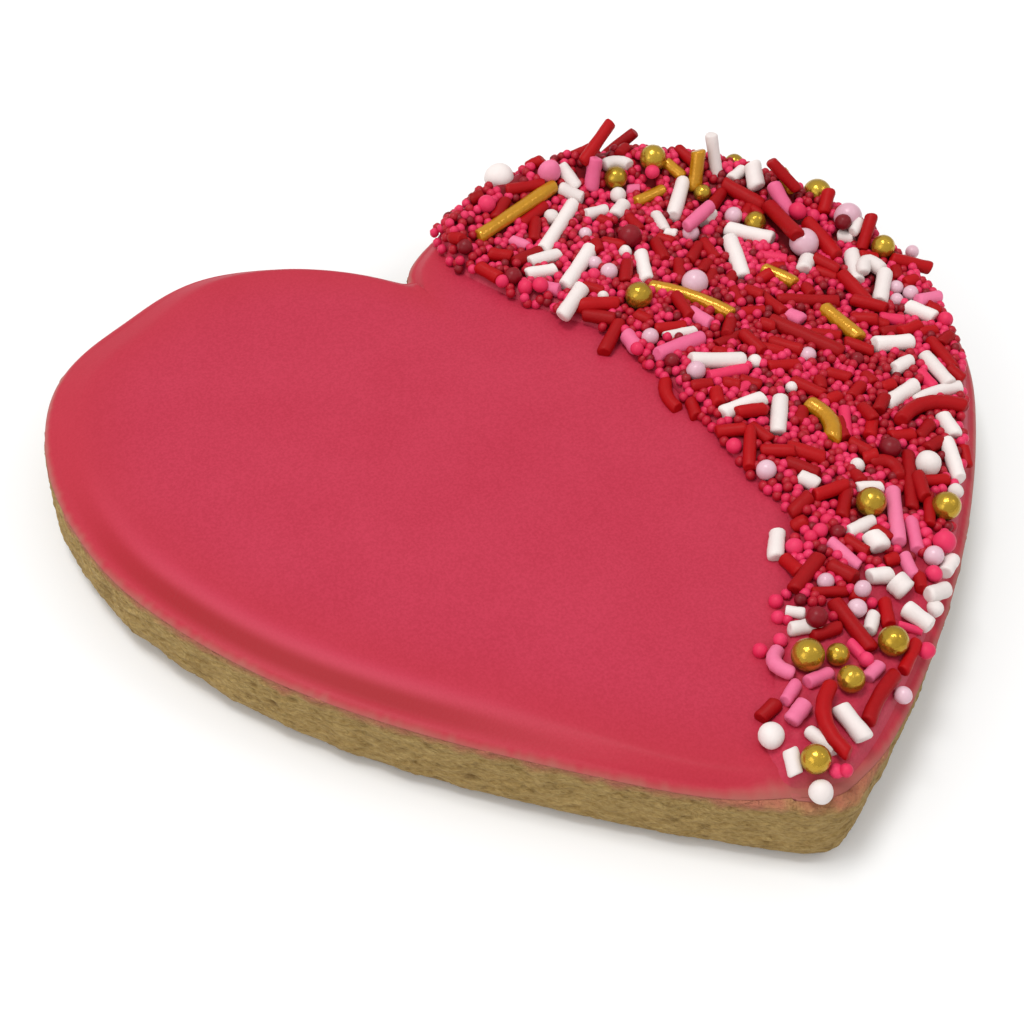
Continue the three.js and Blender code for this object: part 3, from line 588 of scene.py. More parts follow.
def heart_rings(steps):
    """Even rim points with their arms from the heart's middle, how much of the arm one
    millimetre of inset takes, and each one's place on the rim."""
    rim = spaced_evenly(OUTLINE, steps)
    arm = rim - MIDDLE
    per_mm = 1 / (outward_normals(rim) * arm).sum(1)
    return arm, per_mm, np.arange(steps) / steps


def ring_point(arm, per_mm, inset, z):
    """Rings by steps: each rim point drawn in towards the middle by its inset, at height z."""
    scale = 1 - inset * per_mm
    xy = MIDDLE + arm * scale[..., None]
    return np.concatenate([xy, z[..., None]], -1)


# ---- Rods and balls, as arrays over all pieces of a kind ----

# rings near a rod's end: distance from the end and radius, both in rod radii
ROD_END = np.array([(0.0, 0.6), (0.06, 0.83), (0.2, 0.95), (0.45, 1.0)])
ROD_MIDDLE_RINGS = 4
ROD_SIDES = 12
# its swells along its length (share of the radius, radians from end to end), and how far its
# ends are slanted and drawn out at their middle, in rod radii
ROD_SWELLS = ((0.035, 7), (0.02, 17))
ROD_SLANT = 0.22
ROD_DIMPLE = 0.02
# slow waves over a ball's directions, and how each ball's tone shifts them, in radians
BALL_WAVES = np.array([3.1, 2.7, 3.7])
BALL_SHIFTS = np.array([40, -80, 120])


def quadratic(start, control, end, t):
    """The quadratic curve from start past the control point to the end, at shares t."""
    return start * (1 - t) ** 2 + 2 * control * t * (1 - t) + end * t ** 2


def rods_mesh(name, rods, random):
    """Each rod is a circle carried along its curve, its radius falling off at both ends, which
    are cut a little aslant; each is also slightly uneven along its length."""
    starts, controls, ends, radius = (
        np.array([rod[key] for rod in rods]) for key in ("start", "control", "end", "radius"))
    length = np.linalg.norm(ends - starts, axis=1)
    near = ROD_END[:, 0] * radius[:, None] / length[:, None]
    middle = np.linspace(0, 1, ROD_MIDDLE_RINGS + 2)[1:-1]
    middle = near[:, -1:] + (1 - 2 * near[:, -1:]) * middle
    share = np.concatenate([near, middle, 1 - near[:, ::-1]], 1)
    fullness = np.r_[ROD_END[:, 1], np.ones(ROD_MIDDLE_RINGS), ROD_END[::-1, 1]]
    phase = np.array([[random() for _ in range(4)] for _ in rods]) * 2 * math.pi
    uneven = 1 + sum(swell * np.sin(share * turns + phase[:, i:i + 1])
                     for i, (swell, turns) in enumerate(ROD_SWELLS))
    centres = quadratic(*(p[:, None] for p in (starts, controls, ends)), share[..., None])
    along = np.gradient(centres, axis=1)
    along /= np.linalg.norm(along, axis=2, keepdims=True)
    across = np.cross(along, (0, 0, 1))
    across /= np.maximum(np.linalg.norm(across, axis=2, keepdims=True), 1e-6)
    upward = np.cross(across, along)
    angle = np.linspace(0, -2 * math.pi, ROD_SIDES, endpoint=False)
    spread = (radius[:, None] * fullness * uneven)[..., None, None]
    ring = across[:, :, None] * np.cos(angle)[:, None] + upward[:, :, None] * np.sin(angle)[:, None]
    # the slant shifts a ring's points along the rod, most at the very end
    shifted = 1 - ROD_END[:, 0] / ROD_END[-1, 0]
    at_end = np.r_[shifted, np.zeros(ROD_MIDDLE_RINGS), shifted[::-1]]
    slant = ROD_SLANT * radius[:, None, None] * np.cos(angle + phase[:, 2:3, None]) * at_end[:, None]
    points = centres[:, :, None] + spread * ring + slant[..., None] * along[:, :, None]
    out = ROD_DIMPLE * radius[:, None] * np.stack([-along[:, 0], along[:, -1]])
    poles = np.stack([points[:, 0].mean(1), points[:, -1].mean(1)]) + out
    bodies = np.concatenate([points.reshape(len(rods), -1, 3), np.swapaxes(poles, 0, 1)], 1)
    tones = np.repeat([rod["tone"] for rod in rods], bodies.shape[1])
    return closed_bodies(name, bodies, share.shape[1], {"tone": tones})


def balls_mesh(name, balls, around, down, lumpiness):
    """Each ball is a sphere of rings and poles, its radius swelled by a few slow waves over
    its directions."""
    centre, radius, tone = (np.array([ball[key] for ball in balls]) for key in ("centre", "radius", "tone"))
    angle = np.linspace(0, -2 * math.pi, around, endpoint=False)
    drop = np.linspace(0, math.pi, down + 1)[1:-1, None]
    ring = np.stack([np.sin(drop) * np.cos(angle), np.sin(drop) * np.sin(angle),
                     np.cos(drop) + 0 * angle], -1).reshape(-1, 3)
    directions = np.vstack([ring, (0, 0, 1), (0, 0, -1)])
    swell = np.sin(directions * BALL_WAVES + tone[:, None, None] * BALL_SHIFTS).sum(-1)
    bodies = centre[:, None] + (radius[:, None] * (1 + lumpiness * swell))[..., None] * directions
    return closed_bodies(name, bodies, down - 1, {"tone": np.repeat(tone, len(directions))})


# ---- Laying the heap ----

class Heap:
    """Sprinkles laid one by one; each comes to rest on the bed or on those already there."""

    def __init__(self):
        self.balls = np.zeros((HEAP_ROOM, 4))
        self.count = 0

    def add(self, points, radius):
        self.balls[self.count:self.count + len(points), :3] = points
        self.balls[self.count:self.count + len(points), 3] = girths(points, radius)
        self.count += len(points)

    def needs(self, points, floor, girth):
        """Height of each sample of a piece if it lay there alone: on the floor, or on the
        ball below by the height of the triangle between their centres."""
        x, y, z, r = self.balls[:self.count].T
        reach = np.reshape(girth, (-1, 1)) + r - SINK
        across = (x - points[:, :1]) ** 2 + (y - points[:, 1:]) ** 2
        lifted = np.where(across < reach ** 2, z + np.sqrt(np.maximum(reach ** 2 - across, 0)), -np.inf)
        return np.maximum(floor, lifted.max(1)) if self.count else floor

    def settle(self, points, radius):
        """Heights of a piece's two ends, raised together until no sample is too low; a rod
        reaches less far round its ends, which are cut off."""
        share = np.linspace(0, 1, len(points)) if len(points) > 1 else np.zeros(1)
        floor = resting_height(points) + radius - SINK
        needs = self.needs(points, floor, girths(points, radius))
        ends = np.array([needs[0], needs[-1]])
        short = needs - ends[0] * (1 - share) - ends[1] * share
        ends += max(short.max(), 0)
        return ends, floor, share


def girths(points, radius):
    """How far a piece reaches round each of its samples."""
    reach = np.full(len(points), float(radius))
    if len(points) > 1:
        reach[[0, -1]] *= END_GIRTH
    return reach


def rod_points(x1, y1, x2, y2, bow):
    """Samples about 1 mm apart along a rod seen from above, and its control point."""
    start, end = np.array([x1, y1]), np.array([x2, y2])
    run = end - start
    control = (start + end) / 2 + 2 * bow * np.array([-run[1], run[0]]) / np.hypot(*run)
    curve = quadratic(start, control, end, np.linspace(0, 1, MEASURING_POINTS)[:, None])
    count = max(math.ceil(np.hypot(*np.diff(curve, axis=0).T).sum()), 2)
    return quadratic(start, control, end, np.linspace(0, 1, count + 1)[:, None]), control


def keep_rod(heap, points, control, heights, radius, tone):
    """Leaves a rod where it rests: straight from end to end when seen from the side."""
    share = np.linspace(0, 1, len(points))
    z = heights[0] * (1 - share) + heights[1] * share
    heap.add(np.c_[points, z], radius)
    return {
        "start": (*points[0], heights[0]), "end": (*points[-1], heights[1]),
        "control": (*control, heights.mean()), "radius": radius, "tone": tone,
    }


def lay_rod(heap, spec, tone):
    """Settles a listed rod. How high it rests and where it lies depend on each other, so both
    are closed in on in rounds of ever smaller steps."""
    x1, y1, x2, y2, radius, bow, lift1, lift2 = (*spec, 0, 0, 0)[:8]
    drawn, lifts = np.array([(x1, y1), (x2, y2)]), np.array([lift1, lift2])
    heights = np.array([LEVEL, LEVEL])
    for step in range(SETTLE_ROUNDS):
        points, _ = rod_points(*along_sight(drawn, heights).ravel(), bow)
        heights = heights + (heap.settle(points, radius)[0] + lifts - heights) / (step + 2)
    points, control = rod_points(*along_sight(drawn, heights).ravel(), bow)
    heights = np.minimum(heights, heap.settle(points, radius)[0] + lifts)
    return keep_rod(heap, points, control, heights, radius, tone)


def lay_low_rod(heap, spec, tone):
    """A rod that lies between and under the others, straight on the bed."""
    x1, y1, x2, y2, radius = spec
    drawn = np.array([(x1, y1), (x2, y2)])
    heights = resting_height(drawn) + radius - SINK
    points, control = rod_points(*along_sight(drawn, heights).ravel(), 0)
    return keep_rod(heap, points, control, resting_height(points)[[0, -1]] + radius - SINK, radius, tone)


def lay_ball(heap, x, y, radius, tone):
    """Settles a listed ball, in the same rounds as a rod."""
    drawn = np.array([x, y])
    z = LEVEL
    for step in range(SETTLE_ROUNDS):
        z += (heap.settle(along_sight(drawn, z)[None], radius)[0][0] - z) / (step + 2)
    place = along_sight(drawn, z)
    z = min(z, heap.settle(place[None], radius)[0][0])
    heap.add(np.array([(*place, z)]), radius)
    return {"centre": (*place, z), "radius": radius, "tone": tone}


REGION_LOW = SPRINKLE_REGION.min(0)
REGION_SIZE = np.ptp(SPRINKLE_REGION, axis=0)


def takes_fine_pieces(places):
    """Whether each place is off the strip of bare icing along the right side, and not where the
    fine pieces thin out; a pattern of waves decides which places go first."""
    inset, nearest = depth_inside(places, OUTLINE)
    bare = BARE_RIM * between(nearest / FINE_STEPS, *BARE_BETWEEN)
    pattern = 0.5 + np.sin(places * PATCHES).sum(1) / 4
    thinned = 1 - ease(places[:, 1], *THINNING)
    x, y, radius = CLEAR_SPOT
    spot_free = np.hypot(places[:, 0] - x, places[:, 1] - y) > radius
    return (inset > bare) & (pattern > thinned) & spot_free


def scatter_rods(heap, random):
    """Short random rods that fit low down between what is already laid."""
    rods = []
    for _ in range(SHORT_ROD_TRIES):
        if len(rods) == SHORT_RODS:
            break
        middle = REGION_LOW + REGION_SIZE * (random(), random())
        angle = math.pi * random()
        length = within(SHORT_ROD_LENGTH, random())
        if inside_sprinkles(middle[None])[0] < SHORT_ROD_INSETS[0]:
            continue
        run = np.array([math.cos(angle), math.sin(angle)]) * length / 2
        points, control = rod_points(*(middle - run), *(middle + run), 0)
        heights, floor, share = heap.settle(points, SHORT_ROD_RADIUS)
        lifted = heights[0] * (1 - share) + heights[1] * share - floor
        inside = (inside_sprinkles(points) > SHORT_ROD_INSETS[1]) & takes_fine_pieces(points)
        if inside.all() and (lifted < SHORT_ROD_LIFT).all():
            rods.append(keep_rod(heap, points, control, heights, SHORT_ROD_RADIUS, angle / math.pi))
    return rods


def scatter_beads(heap, random):
    """Fine beads at random, each kept where it would rest low over the bed, or a little higher
    in the middle of the thickest part."""
    draws = np.array([random() for _ in range(2 * FINE_BEAD_TRIES)]).reshape(-1, 2)
    places = REGION_LOW + REGION_SIZE * draws
    kept = (inside_sprinkles(places) > FINE_BEAD_INSET) & takes_fine_pieces(places)
    # what follows the first digits of a draw serves as one more draw
    places, tones = places[kept], (draws[kept, 0] * 997) % 1
    floors = resting_height(places) + FINE_BEAD_RADIUS - SINK
    away = np.hypot(places[:, 0] - PILE["x"], places[:, 1] - PILE["y"])
    limits = floors + FINE_BEAD_LIFT + PILE["lift"] * bell(away / PILE["over"])
    balls = []
    for place, floor, limit, tone in zip(places, floors, limits, tones):
        z = heap.needs(place[None], np.array([floor]), FINE_BEAD_RADIUS)[0]
        if z < limit:
            heap.add(np.array([(*place, z)]), FINE_BEAD_RADIUS)
            balls.append({"centre": (*place, z), "radius": FINE_BEAD_RADIUS, "tone": tone})
    return balls


def lay_everything():
    """All sprinkles by kind: the listed ones in the order in which they fell, the low and loose
    ones between them, then the rest at random."""
    heap = Heap()
    tones = make_random(SEEDS["tones"])
    random = make_random(SEEDS["places"])
    balls = {kind: [] for kind in ("gold", "white", "pearl", "pink", "rose", "wine")}
    rods = {kind: [] for kind in ("gold", "white", "pink", "rose", "red")}
    for ball_layer, rod_layer in zip(BALLS, RODS):
        for kind, specs in ball_layer.items():
            balls[kind] += [lay_ball(heap, *spec, tones()) for spec in specs]
        for kind, specs in rod_layer.items():
            rods[kind] += [lay_rod(heap, spec, tones()) for spec in specs]
    for kind, specs in LOW_RODS.items():
        rods[kind] += [lay_low_rod(heap, spec, tones()) for spec in specs]
    for kind, specs in BEADS.items():
        balls[kind] += [lay_ball(heap, *spec, tones()) for spec in specs]
    rods["red"] += scatter_rods(heap, random)
    balls["bead"] = scatter_beads(heap, random)
    return rods, balls


# ---- Colours and nodes ----

def linear(hex_colour):
    """An sRGB hex colour as linear red, green, blue and 1."""
    channels = [int(hex_colour[i:i + 2], 16) / 255 for i in (1, 3, 5)]
    turned = [c / 12.92 if c <= 0.04045 else ((c + 0.055) / 1.055) ** 2.4 for c in channels]
    return (*turned, 1.0)


def add(tree, kind, inputs=(), stops=(), **settings):
    """Adds one node. Each input, by name or number, gets a link, a hex colour or a plain value;
    stops are the (place, hex colour) stops of a ramp, and settings the node's own."""
    node = tree.nodes.new(kind)
    for key, value in settings.items():
        setattr(node, key, value)
    for key, value in dict(inputs).items():
        if isinstance(value, bpy.types.NodeSocket):
            tree.links.new(value, node.inputs[key])
        else:
            node.inputs[key].default_value = linear(value) if isinstance(value, str) else value
    for spare in stops[2:]:
        node.color_ramp.elements.new(spare[0])
    for number, (place, colour) in enumerate(stops):
        node.color_ramp.elements[number].position = place
        node.color_ramp.elements[number].color = linear(colour)
    return node


def new_material(name):
    """An empty material with its shader and output joined."""
    material = bpy.data.materials.new(name)
    material.use_nodes = True
    return material, material.node_tree, material.node_tree.nodes["Principled BSDF"]


def grain(tree, millimetres, detail=2, stretch=(1, 1, 1), roughness=0.5):
    """Soft noise on the piece's own place, with grains of that many millimetres."""
    place = add(tree, "ShaderNodeTexCoord").outputs["Object"]
    place = add(tree, "ShaderNodeMapping", {"Vector": place, "Scale": stretch}).outputs["Vector"]
    return add(tree, "ShaderNodeTexNoise", {
        "Vector": place, "Scale": 1 / (millimetres * MM), "Detail": detail, "Roughness": roughness,
    }).outputs["Fac"]


def layered(tree, colour, *layers):
    """A colour with others laid over it in turn. Each layer is how thick it lies, as a share, a
    pattern or the name of the attribute that holds it, and its colour."""
    for cover, over in layers:
        if isinstance(cover, str):
            cover = add(tree, "ShaderNodeAttribute", attribute_name=cover).outputs["Fac"]
        # a colour mix has its factor, colours and result at these numbers
        blend = add(tree, "ShaderNodeMix", {0: cover, 6: colour, 7: over}, data_type="RGBA")
        colour = blend.outputs[2]
    return colour


def finish(tree, shader, colour, roughness, gloss, relief, depth):
    """Gives the shader its colour, roughness and gloss, and a relief of that depth in mm."""
    bump = add(tree, "ShaderNodeBump", {"Height": relief, "Distance": depth * MM, "Strength": 1})
    tree.links.new(colour, shader.inputs["Base Color"])
    tree.links.new(bump.outputs["Normal"], shader.inputs["Normal"])
    shader.inputs["Roughness"].default_value = roughness
    shader.inputs["Specular IOR Level"].default_value = gloss


# ---- Materials ----

# widths of grain in mm, as on the real ones: folds in the dough's skin and its sugar crumb,
# clouds in poured icing, dimples between beads, mottling of paste, wear and granules under gold
SKIN_FOLDS = 1.6
SUGAR_CRUMB = 0.45
ICING_CLOUDS = 9
BED_DIMPLES = 0.8
PASTE_MOTTLE = 0.6
LUSTRE_WEAR = 0.5
LUSTRE_GRANULES = 0.45
# powdered sugar is ground to 0.05 mm, too fine to show, so its grain is drawn as coarse as this
POWDER_GRAIN = 0.25
ICING_TOOTH = 0.22
# the wall's folds and crumb are pressed flat, this many times longer than high
PRESSED = (1, 1, 2.3)


def baked_dough():
    """Butter-rich dough baked pale: matt, sandy and wrinkled along the wall, with its creases
    darker as painted shade, painted shade low down and in its pores, stained pink just under the icing."""
    material, tree, shader = new_material("baked_sugar_dough")
    wrinkles = grain(tree, SKIN_FOLDS, detail=4, stretch=PRESSED, roughness=0.6)
    # the sandy mottle follows the same folds as the relief: partly the dough's own colour, partly painted
    # shade in the creases and lighter ridges
    sandy_and_crease_shade = add(tree, "ShaderNodeValToRGB", {"Fac": wrinkles},
                [(0.3, "#6c5226"), (0.44, "#9a7d48"), (0.7, "#b3975f")])
    crumb = add(tree, "ShaderNodeValToRGB", {"Fac": grain(tree, SUGAR_CRUMB, detail=3, stretch=PRESSED)},
                [(0.35, "#866835"), (0.65, "#b89c64")])
    # the dark brown laid over the dough is painted shade in the pores and along the foot; the pink is a
    # real stain
    colour = layered(tree, sandy_and_crease_shade.outputs["Color"], (0.4, crumb.outputs["Color"]),
                     ("painted_pore_and_foot_shade", "#684a22"), ("stain", "#a8604e"))
    finish(tree, shader, colour, roughness=0.85, gloss=0.3, relief=wrinkles, depth=1.2)
    return material


def icing_colour(tree):
    """Coral pink with slight clouding and a very fine grain."""
    cloudy = add(tree, "ShaderNodeValToRGB", {"Fac": grain(tree, ICING_CLOUDS)},
                 [(0.35, "#af273f"), (0.65, "#b42d45")])
    fine = add(tree, "ShaderNodeValToRGB", {"Fac": grain(tree, POWDER_GRAIN)},
               [(0.35, "#a52339"), (0.65, "#bd324b")])
    return layered(tree, cloudy.outputs["Color"], (0.4, fine.outputs["Color"]))


def set_icing():
    """Powdered-sugar icing poured and left to set: satin, warmer towards the rim, painted deeper red
    as shade down the front slope, with a painted highlight along its crest; thin at its edge, where the
    dough shows through."""
    material, tree, shader = new_material("set_sugar_icing")
    # the slope layer is painted shade down the front slope, and the crest layer a painted highlight along
    # its crest
    colour = layered(tree, icing_colour(tree), ("rimward", "#ac2430"), ("painted_crest_highlight", "#c23553"),
                     ("slope", "#960012"), ("thin", "#a0685a"))
    finish(tree, shader, colour, roughness=0.5, gloss=0.22, relief=grain(tree, ICING_TOOTH), depth=0.015)
    return material


def sugar_bed():
    """Icing under the beads, painted deep crimson as the shade between them, a little wet, and
    the icing's own pink where the bed runs out."""
    material, tree, shader = new_material("icing_bed_painted_shade")
    # the deep crimson is painted shade between the beads
    colour = layered(tree, icing_colour(tree), ("painted_gap_shade", "#780a16"), ("thin", "#a0685a"))
    finish(tree, shader, colour, roughness=0.5, gloss=0.22, relief=grain(tree, BED_DIMPLES), depth=0.05)
    return material


def sugar_paste(name, low, high, roughness, gloss, grain_depth):
    """Extruded or panned sugar paste, coloured through: each piece its own tone between two
    shades, with a fine grain and a soft waxed gloss."""
    material, tree, shader = new_material(name)
    shade = layered(tree, low, (grain(tree, PASTE_MOTTLE), high))
    colour = layered(tree, low, ("tone", high), (0.35, shade))
    finish(tree, shader, colour, roughness, gloss, grain(tree, POWDER_GRAIN), grain_depth)
    return material


def bead_sugar():
    """Panned sugar beads with a soft shell gloss, each of one colour: most hot pink, some
    crimson, a few wine red."""
    material, tree, shader = new_material("bead_sugar")
    tone = add(tree, "ShaderNodeAttribute", attribute_name="tone")
    colour = add(tree, "ShaderNodeValToRGB", {"Fac": tone.outputs["Fac"]}, [
        (0.0, "#d02450"), (0.3, "#dc305e"), (0.46, "#c81c44"), (0.52, "#b00e28"), (0.86, "#a0081c"),
        (0.92, "#7e0616"),
    ])
    finish(tree, shader, colour.outputs["Color"],
           roughness=0.45, gloss=0.3, relief=grain(tree, POWDER_GRAIN), depth=0.01)
    return material


def gold_lustre(name, low, high, metal):
    """Sugar dusted and polished with gold lustre: a satin metal skin, thinner the less of it
    is metal, so the yellow sugar dulls it."""
    material, tree, shader = new_material(name)
    colour = layered(tree, low, ("tone", high), (grain(tree, LUSTRE_WEAR, detail=3), high))
    finish(tree, shader, colour, roughness=0.24, gloss=0.5, relief=grain(tree, LUSTRE_GRANULES), depth=0.06)
    shader.inputs["Metallic"].default_value = metal
    return material


def studio_floor():
    """Plain white card."""
    material, _, shader = new_material("white_card")
    shader.inputs["Base Color"].default_value = linear("#eeeeee")
    shader.inputs["Roughness"].default_value = 0.9
    return material


# ---- Cookie and icing ----

WALL_STEPS = 1200
FOOT_RINGS = 12
WALL_RINGS = 32
SHOULDER_RINGS = 8
# the dough's top lies this much under the icing (mm)
DOUGH_GAP = 0.04
LEAST_INSET = 0.02
# sums of waves round the rim: how many, their turns round it, how much they lean (radians per mm
# of height), and how far they push (mm)
CREASES = {"count": 8, "turns": (15, 60), "lean": (1.5, 3.5)}
ROLLING = {"count": 12, "turns": (12, 60), "lean": (0.2, 0.8), "push": 0.07}
WRINKLES = {"count": 24, "turns": (60, 210), "lean": (4, 9), "push": 0.06}
STAIN_EDGE = {"count": 12, "turns": (20, 160), "lean": (0.2, 1.5), "push": 0.2}
ICING_EDGE = {"count": 24, "turns": (20, 300), "lean": (0, 0), "push": 0.09}
# creases are this deep, and open where the sum of their waves is within this of 0
CREASE_DEPTH = 0.1
CREASE_WIDTH = 0.4
# the relief sets in above the underside and ends under the icing, at these heights (mm)
ROUGH_BETWEEN = ((0.2, 1.5), (7.5, 7.9))
# pores: least and most height on the wall, width and depth (mm), and how much longer than high
PORES = 60
PORE_HEIGHTS = (0.8, 6.6)
PORE_WIDTHS = (0.12, 0.26)
PORE_DEPTHS = (0.1, 0.35)
PORE_STRETCH = 1.8
RIM_LENGTH = 285
# the icing's stain: how strong, the heights that it sets in between, and how much higher it
# stays at the tip (mm)
STAIN = 0.9
STAINED_ABOVE = (6.3, 7.7)
STAIN_HIGHER = 0.9
# painted shade at the foot and in the pores: up to which heights, its share at the foot and under the
# cookie, and per mm of pore
SHADED_BELOW = (0.1, 0.9)
FOOT_SHADE = 0.45
UNDERSIDE_SHADE = 0.4
PORE_SHADE = 3


def waves(at, z, random, count, turns, lean, push=1):
    """Sum of waves that close round the rim: each has a whole number of turns, a lean up the
    wall to either side, and a random phase."""
    total = np.zeros(np.broadcast(at, z).shape)
    for _ in range(count):
        whole_turns = round(within(turns, random()))
        leaning = within(lean, random()) * (1 if random() > 0.5 else -1)
        total += np.sin(2 * math.pi * (whole_turns * at + random()) + leaning * z)
    return push * total / math.sqrt(count)


def wall_relief(at, z, random):
    """Creases that run along the wall, finer dimples, and scattered pores, in mm inwards, and
    how deep in a pore each point is."""
    relief = CREASE_DEPTH * np.maximum(1 - np.abs(waves(at, z, random, **CREASES)) / CREASE_WIDTH, 0)
    for shape in (ROLLING, WRINKLES):
        relief += waves(at, z, random, **shape)
    pits = np.zeros_like(relief)
    # most pores are narrow, as the squared draw makes them
    for _ in range(PORES):
        place, height = random(), within(PORE_HEIGHTS, random())
        width, depth = within(PORE_WIDTHS, random() ** 2), within(PORE_DEPTHS, random())
        along = rim_gap(at, place) * RIM_LENGTH / (PORE_STRETCH * width)
        pits = np.maximum(pits, depth * bell(along) * bell((z - height) / width))
    return relief + pits, pits


def cookie_dough():
    """Rings from the underside's edge round the foot, up the wall and over the shoulder, each
    drawn in from the rim and roughened; a pole closes the underside and another the top."""
    random = make_random(SEEDS["wall"])
    arm, per_mm, at = heart_rings(WALL_STEPS)
    foot = dough_foot(at)
    foot_turn = np.linspace(0, math.pi / 2, FOOT_RINGS)[:, None]
    share = np.linspace(0, 1, WALL_RINGS + 1)[1:, None]
    turn = np.linspace(0, math.pi / 2, SHOULDER_RINGS + 1)[1:, None]
    shoulder_z = DOUGH_TOP - DOUGH_SHOULDER
    grown = DOUGH_SHOULDER + CLEARANCE - DOUGH_GAP
    inset = np.vstack([foot * (1 - np.sin(foot_turn)), 0 * share * foot,
                       np.maximum(DOUGH_SHOULDER - grown * np.cos(turn), LEAST_INSET) + 0 * foot])
    z = np.vstack([foot * (1 - np.cos(foot_turn)), foot * (1 - share) + shoulder_z * share,
                   shoulder_z + grown * np.sin(turn) + 0 * foot])
    relief, pits = wall_relief(at, z, random)
    inset += relief * between(z, *ROUGH_BETWEEN)
    points = ring_point(arm, per_mm, inset, z).reshape(-1, 3)
    points = np.vstack([points, (*MIDDLE, 0), (*MIDDLE, z[-1, 0])])
    # the stain reaches down the wall, but only its very top at the tip
    ragged = waves(at, z, random, **STAIN_EDGE)
    stain = STAIN * ease(z + ragged - STAIN_HIGHER * tip_share(at), *STAINED_ABOVE)
    # painted shade along the foot, where the wall meets the floor, and in the pores by their depth
    foot_shade = FOOT_SHADE * (1 - ease(z, *SHADED_BELOW))
    painted_pore_and_foot_shade = np.clip(PORE_SHADE * pits + foot_shade, 0, 1)
    return closed_bodies("cookie_dough", points[None], len(z), {
        "painted_pore_and_foot_shade": np.r_[painted_pore_and_foot_shade.ravel(), UNDERSIDE_SHADE, 0], "stain": np.r_[stain.ravel(), 0, 0],
    })


ICING_STEPS = 900
# how far inside the icing's edge its rings lie (mm): those tucked under the lip, then those
# round the lip and up the slope
TUCKED = np.array([1.0, 0.5, 0.2])
LIP_AND_SLOPE = np.r_[0, 0.03, 0.07, 0.12, 0.18, 0.26, 0.36, 0.5, 0.7, np.arange(0.9, 6.0, 0.2)]
FLAT_RINGS = 24
FLAT_SWELL = {"height": 0.05, "rates": (0.21, 0.17), "phases": (1.3, 0)}
# how much dough shows through at the icing's edge, over which distances inside it (mm) that
# fades, and how much further it reaches at the tip
EDGE_THINNESS = 0.8
THIN_BETWEEN = (-0.3, 0.7)
THIN_FURTHER = 1.6
# the front slope's painted shade and its crest's painted highlight: between which places on the rim, how
# strong, and over which distances, inside the edge (SLOPE_STARTS) or past the slope's end (mm)
FRONT_BETWEEN = ((0.7, 0.79), (0.85, 0.94))
PAINTED_SLOPE_SHADE = 0.95
SLOPE_STARTS = (0.5, 1.6)
SLOPE_ENDS = (-1.6, -0.5)
PAINTED_CREST_HIGHLIGHT = {"share": 0.35, "at": -0.1, "over": 0.7}
# the warmer tint at the rim, and how far in it fades (mm)
RIM_TINT = {"share": 0.6, "over": 12}


def thinness(run, setback):
    """How much dough shows through the icing at a distance inside its edge: most at the edge,
    over a wider strip at the tip."""
    start, end = THIN_BETWEEN
    further = THIN_FURTHER * setback / BARE_TIP["width"]
    return EDGE_THINNESS * (1 - ease(run, start, end + further))


def icing_skin():
    """Rings from under the lip, round it and up the slope, then evenly in to the middle; a
    slow swell of a few hundredths of a millimetre keeps the flat from being dead level."""
    random = make_random(SEEDS["icing_edge"])
    arm, per_mm, at = heart_rings(ICING_STEPS)
    setback = icing_setback(at)
    under = TUCKED[:, None] + setback
    run = LIP_AND_SLOPE[:, None]
    over = run + setback
    z = np.vstack([dough_height(under, CLEARANCE), icing_height(over, at)])
    points = ring_point(arm, per_mm, np.vstack([under, over]), z)
    shares = np.linspace(1, 0, FLAT_RINGS + 2)[1:-1, None, None]
    flat = MIDDLE + (points[-1, :, :2] - MIDDLE) * shares
    flat = np.concatenate([flat, np.full(flat.shape[:2] + (1,), ICING_TOP)], -1)
    points = np.concatenate([points, flat])
    on_top = len(TUCKED) + (LIP_AND_SLOPE < 1).sum()
    points[on_top:, :, 2] += ripples(points[on_top:], **FLAT_SWELL)
    ragged = waves(at, np.zeros(1), random, **ICING_EDGE)
    # the slope's painted shade is deepest just under the crest, where it ends sharply, and fades
    # towards the edge; a painted highlight runs along the crest; both show along the front only
    front = between(at, *FRONT_BETWEEN)
    past = run - slope_width(at)
    rings = slice(len(TUCKED), len(TUCKED) + len(LIP_AND_SLOPE))
    thin, slope, painted_crest_highlight = (np.zeros(points.shape[:2]) for _ in range(3))
    thin[:len(TUCKED)] = EDGE_THINNESS
    thin[rings] = thinness(run + ragged, setback)
    # painted shade down the front slope, then a painted highlight along its crest
    slope[rings] = PAINTED_SLOPE_SHADE * front * ease(run, *SLOPE_STARTS) * (1 - ease(past, *SLOPE_ENDS))
    painted_crest_highlight[rings] = PAINTED_CREST_HIGHLIGHT["share"] * front * bell((past - PAINTED_CREST_HIGHLIGHT["at"]) / PAINTED_CREST_HIGHLIGHT["over"])
    gone_in = np.hypot(*np.moveaxis(points[..., :2] - points[len(TUCKED), :, :2], -1, 0))
    rimward = RIM_TINT["share"] * (1 - ease(gone_in, 0, RIM_TINT["over"]))
    poles = [(*MIDDLE, DOUGH_TOP + CLEARANCE), (*MIDDLE, ICING_TOP)]
    tints = {"thin": thin, "slope": slope, "painted_crest_highlight": painted_crest_highlight, "rimward": rimward}
    return closed_bodies("icing_skin", np.vstack([points.reshape(-1, 3), poles])[None], len(points), {
        key: np.r_[values.ravel(), 0, 0] for key, values in tints.items()
    })


BED_ALONG = 260
BED_ACROSS = 40
# rows left out at the tip, where the bed would run out past the icing
BED_TIP_ROWS = 5
# the bed's top starts this much under the icing, so that it shows only where it is raised
BED_SUNK = 0.15
# it rises over this stretch inside the icing's edge, and is lumpy and painted dark as shade
# past this one inside its own (mm)
BED_RISES = (0.5, 1.7)
BED_MIDDLE = (0.8, 2.5)
BED_LUMPS = {"height": 0.12, "rates": (3.1, 2.7), "phases": (0, 1)}


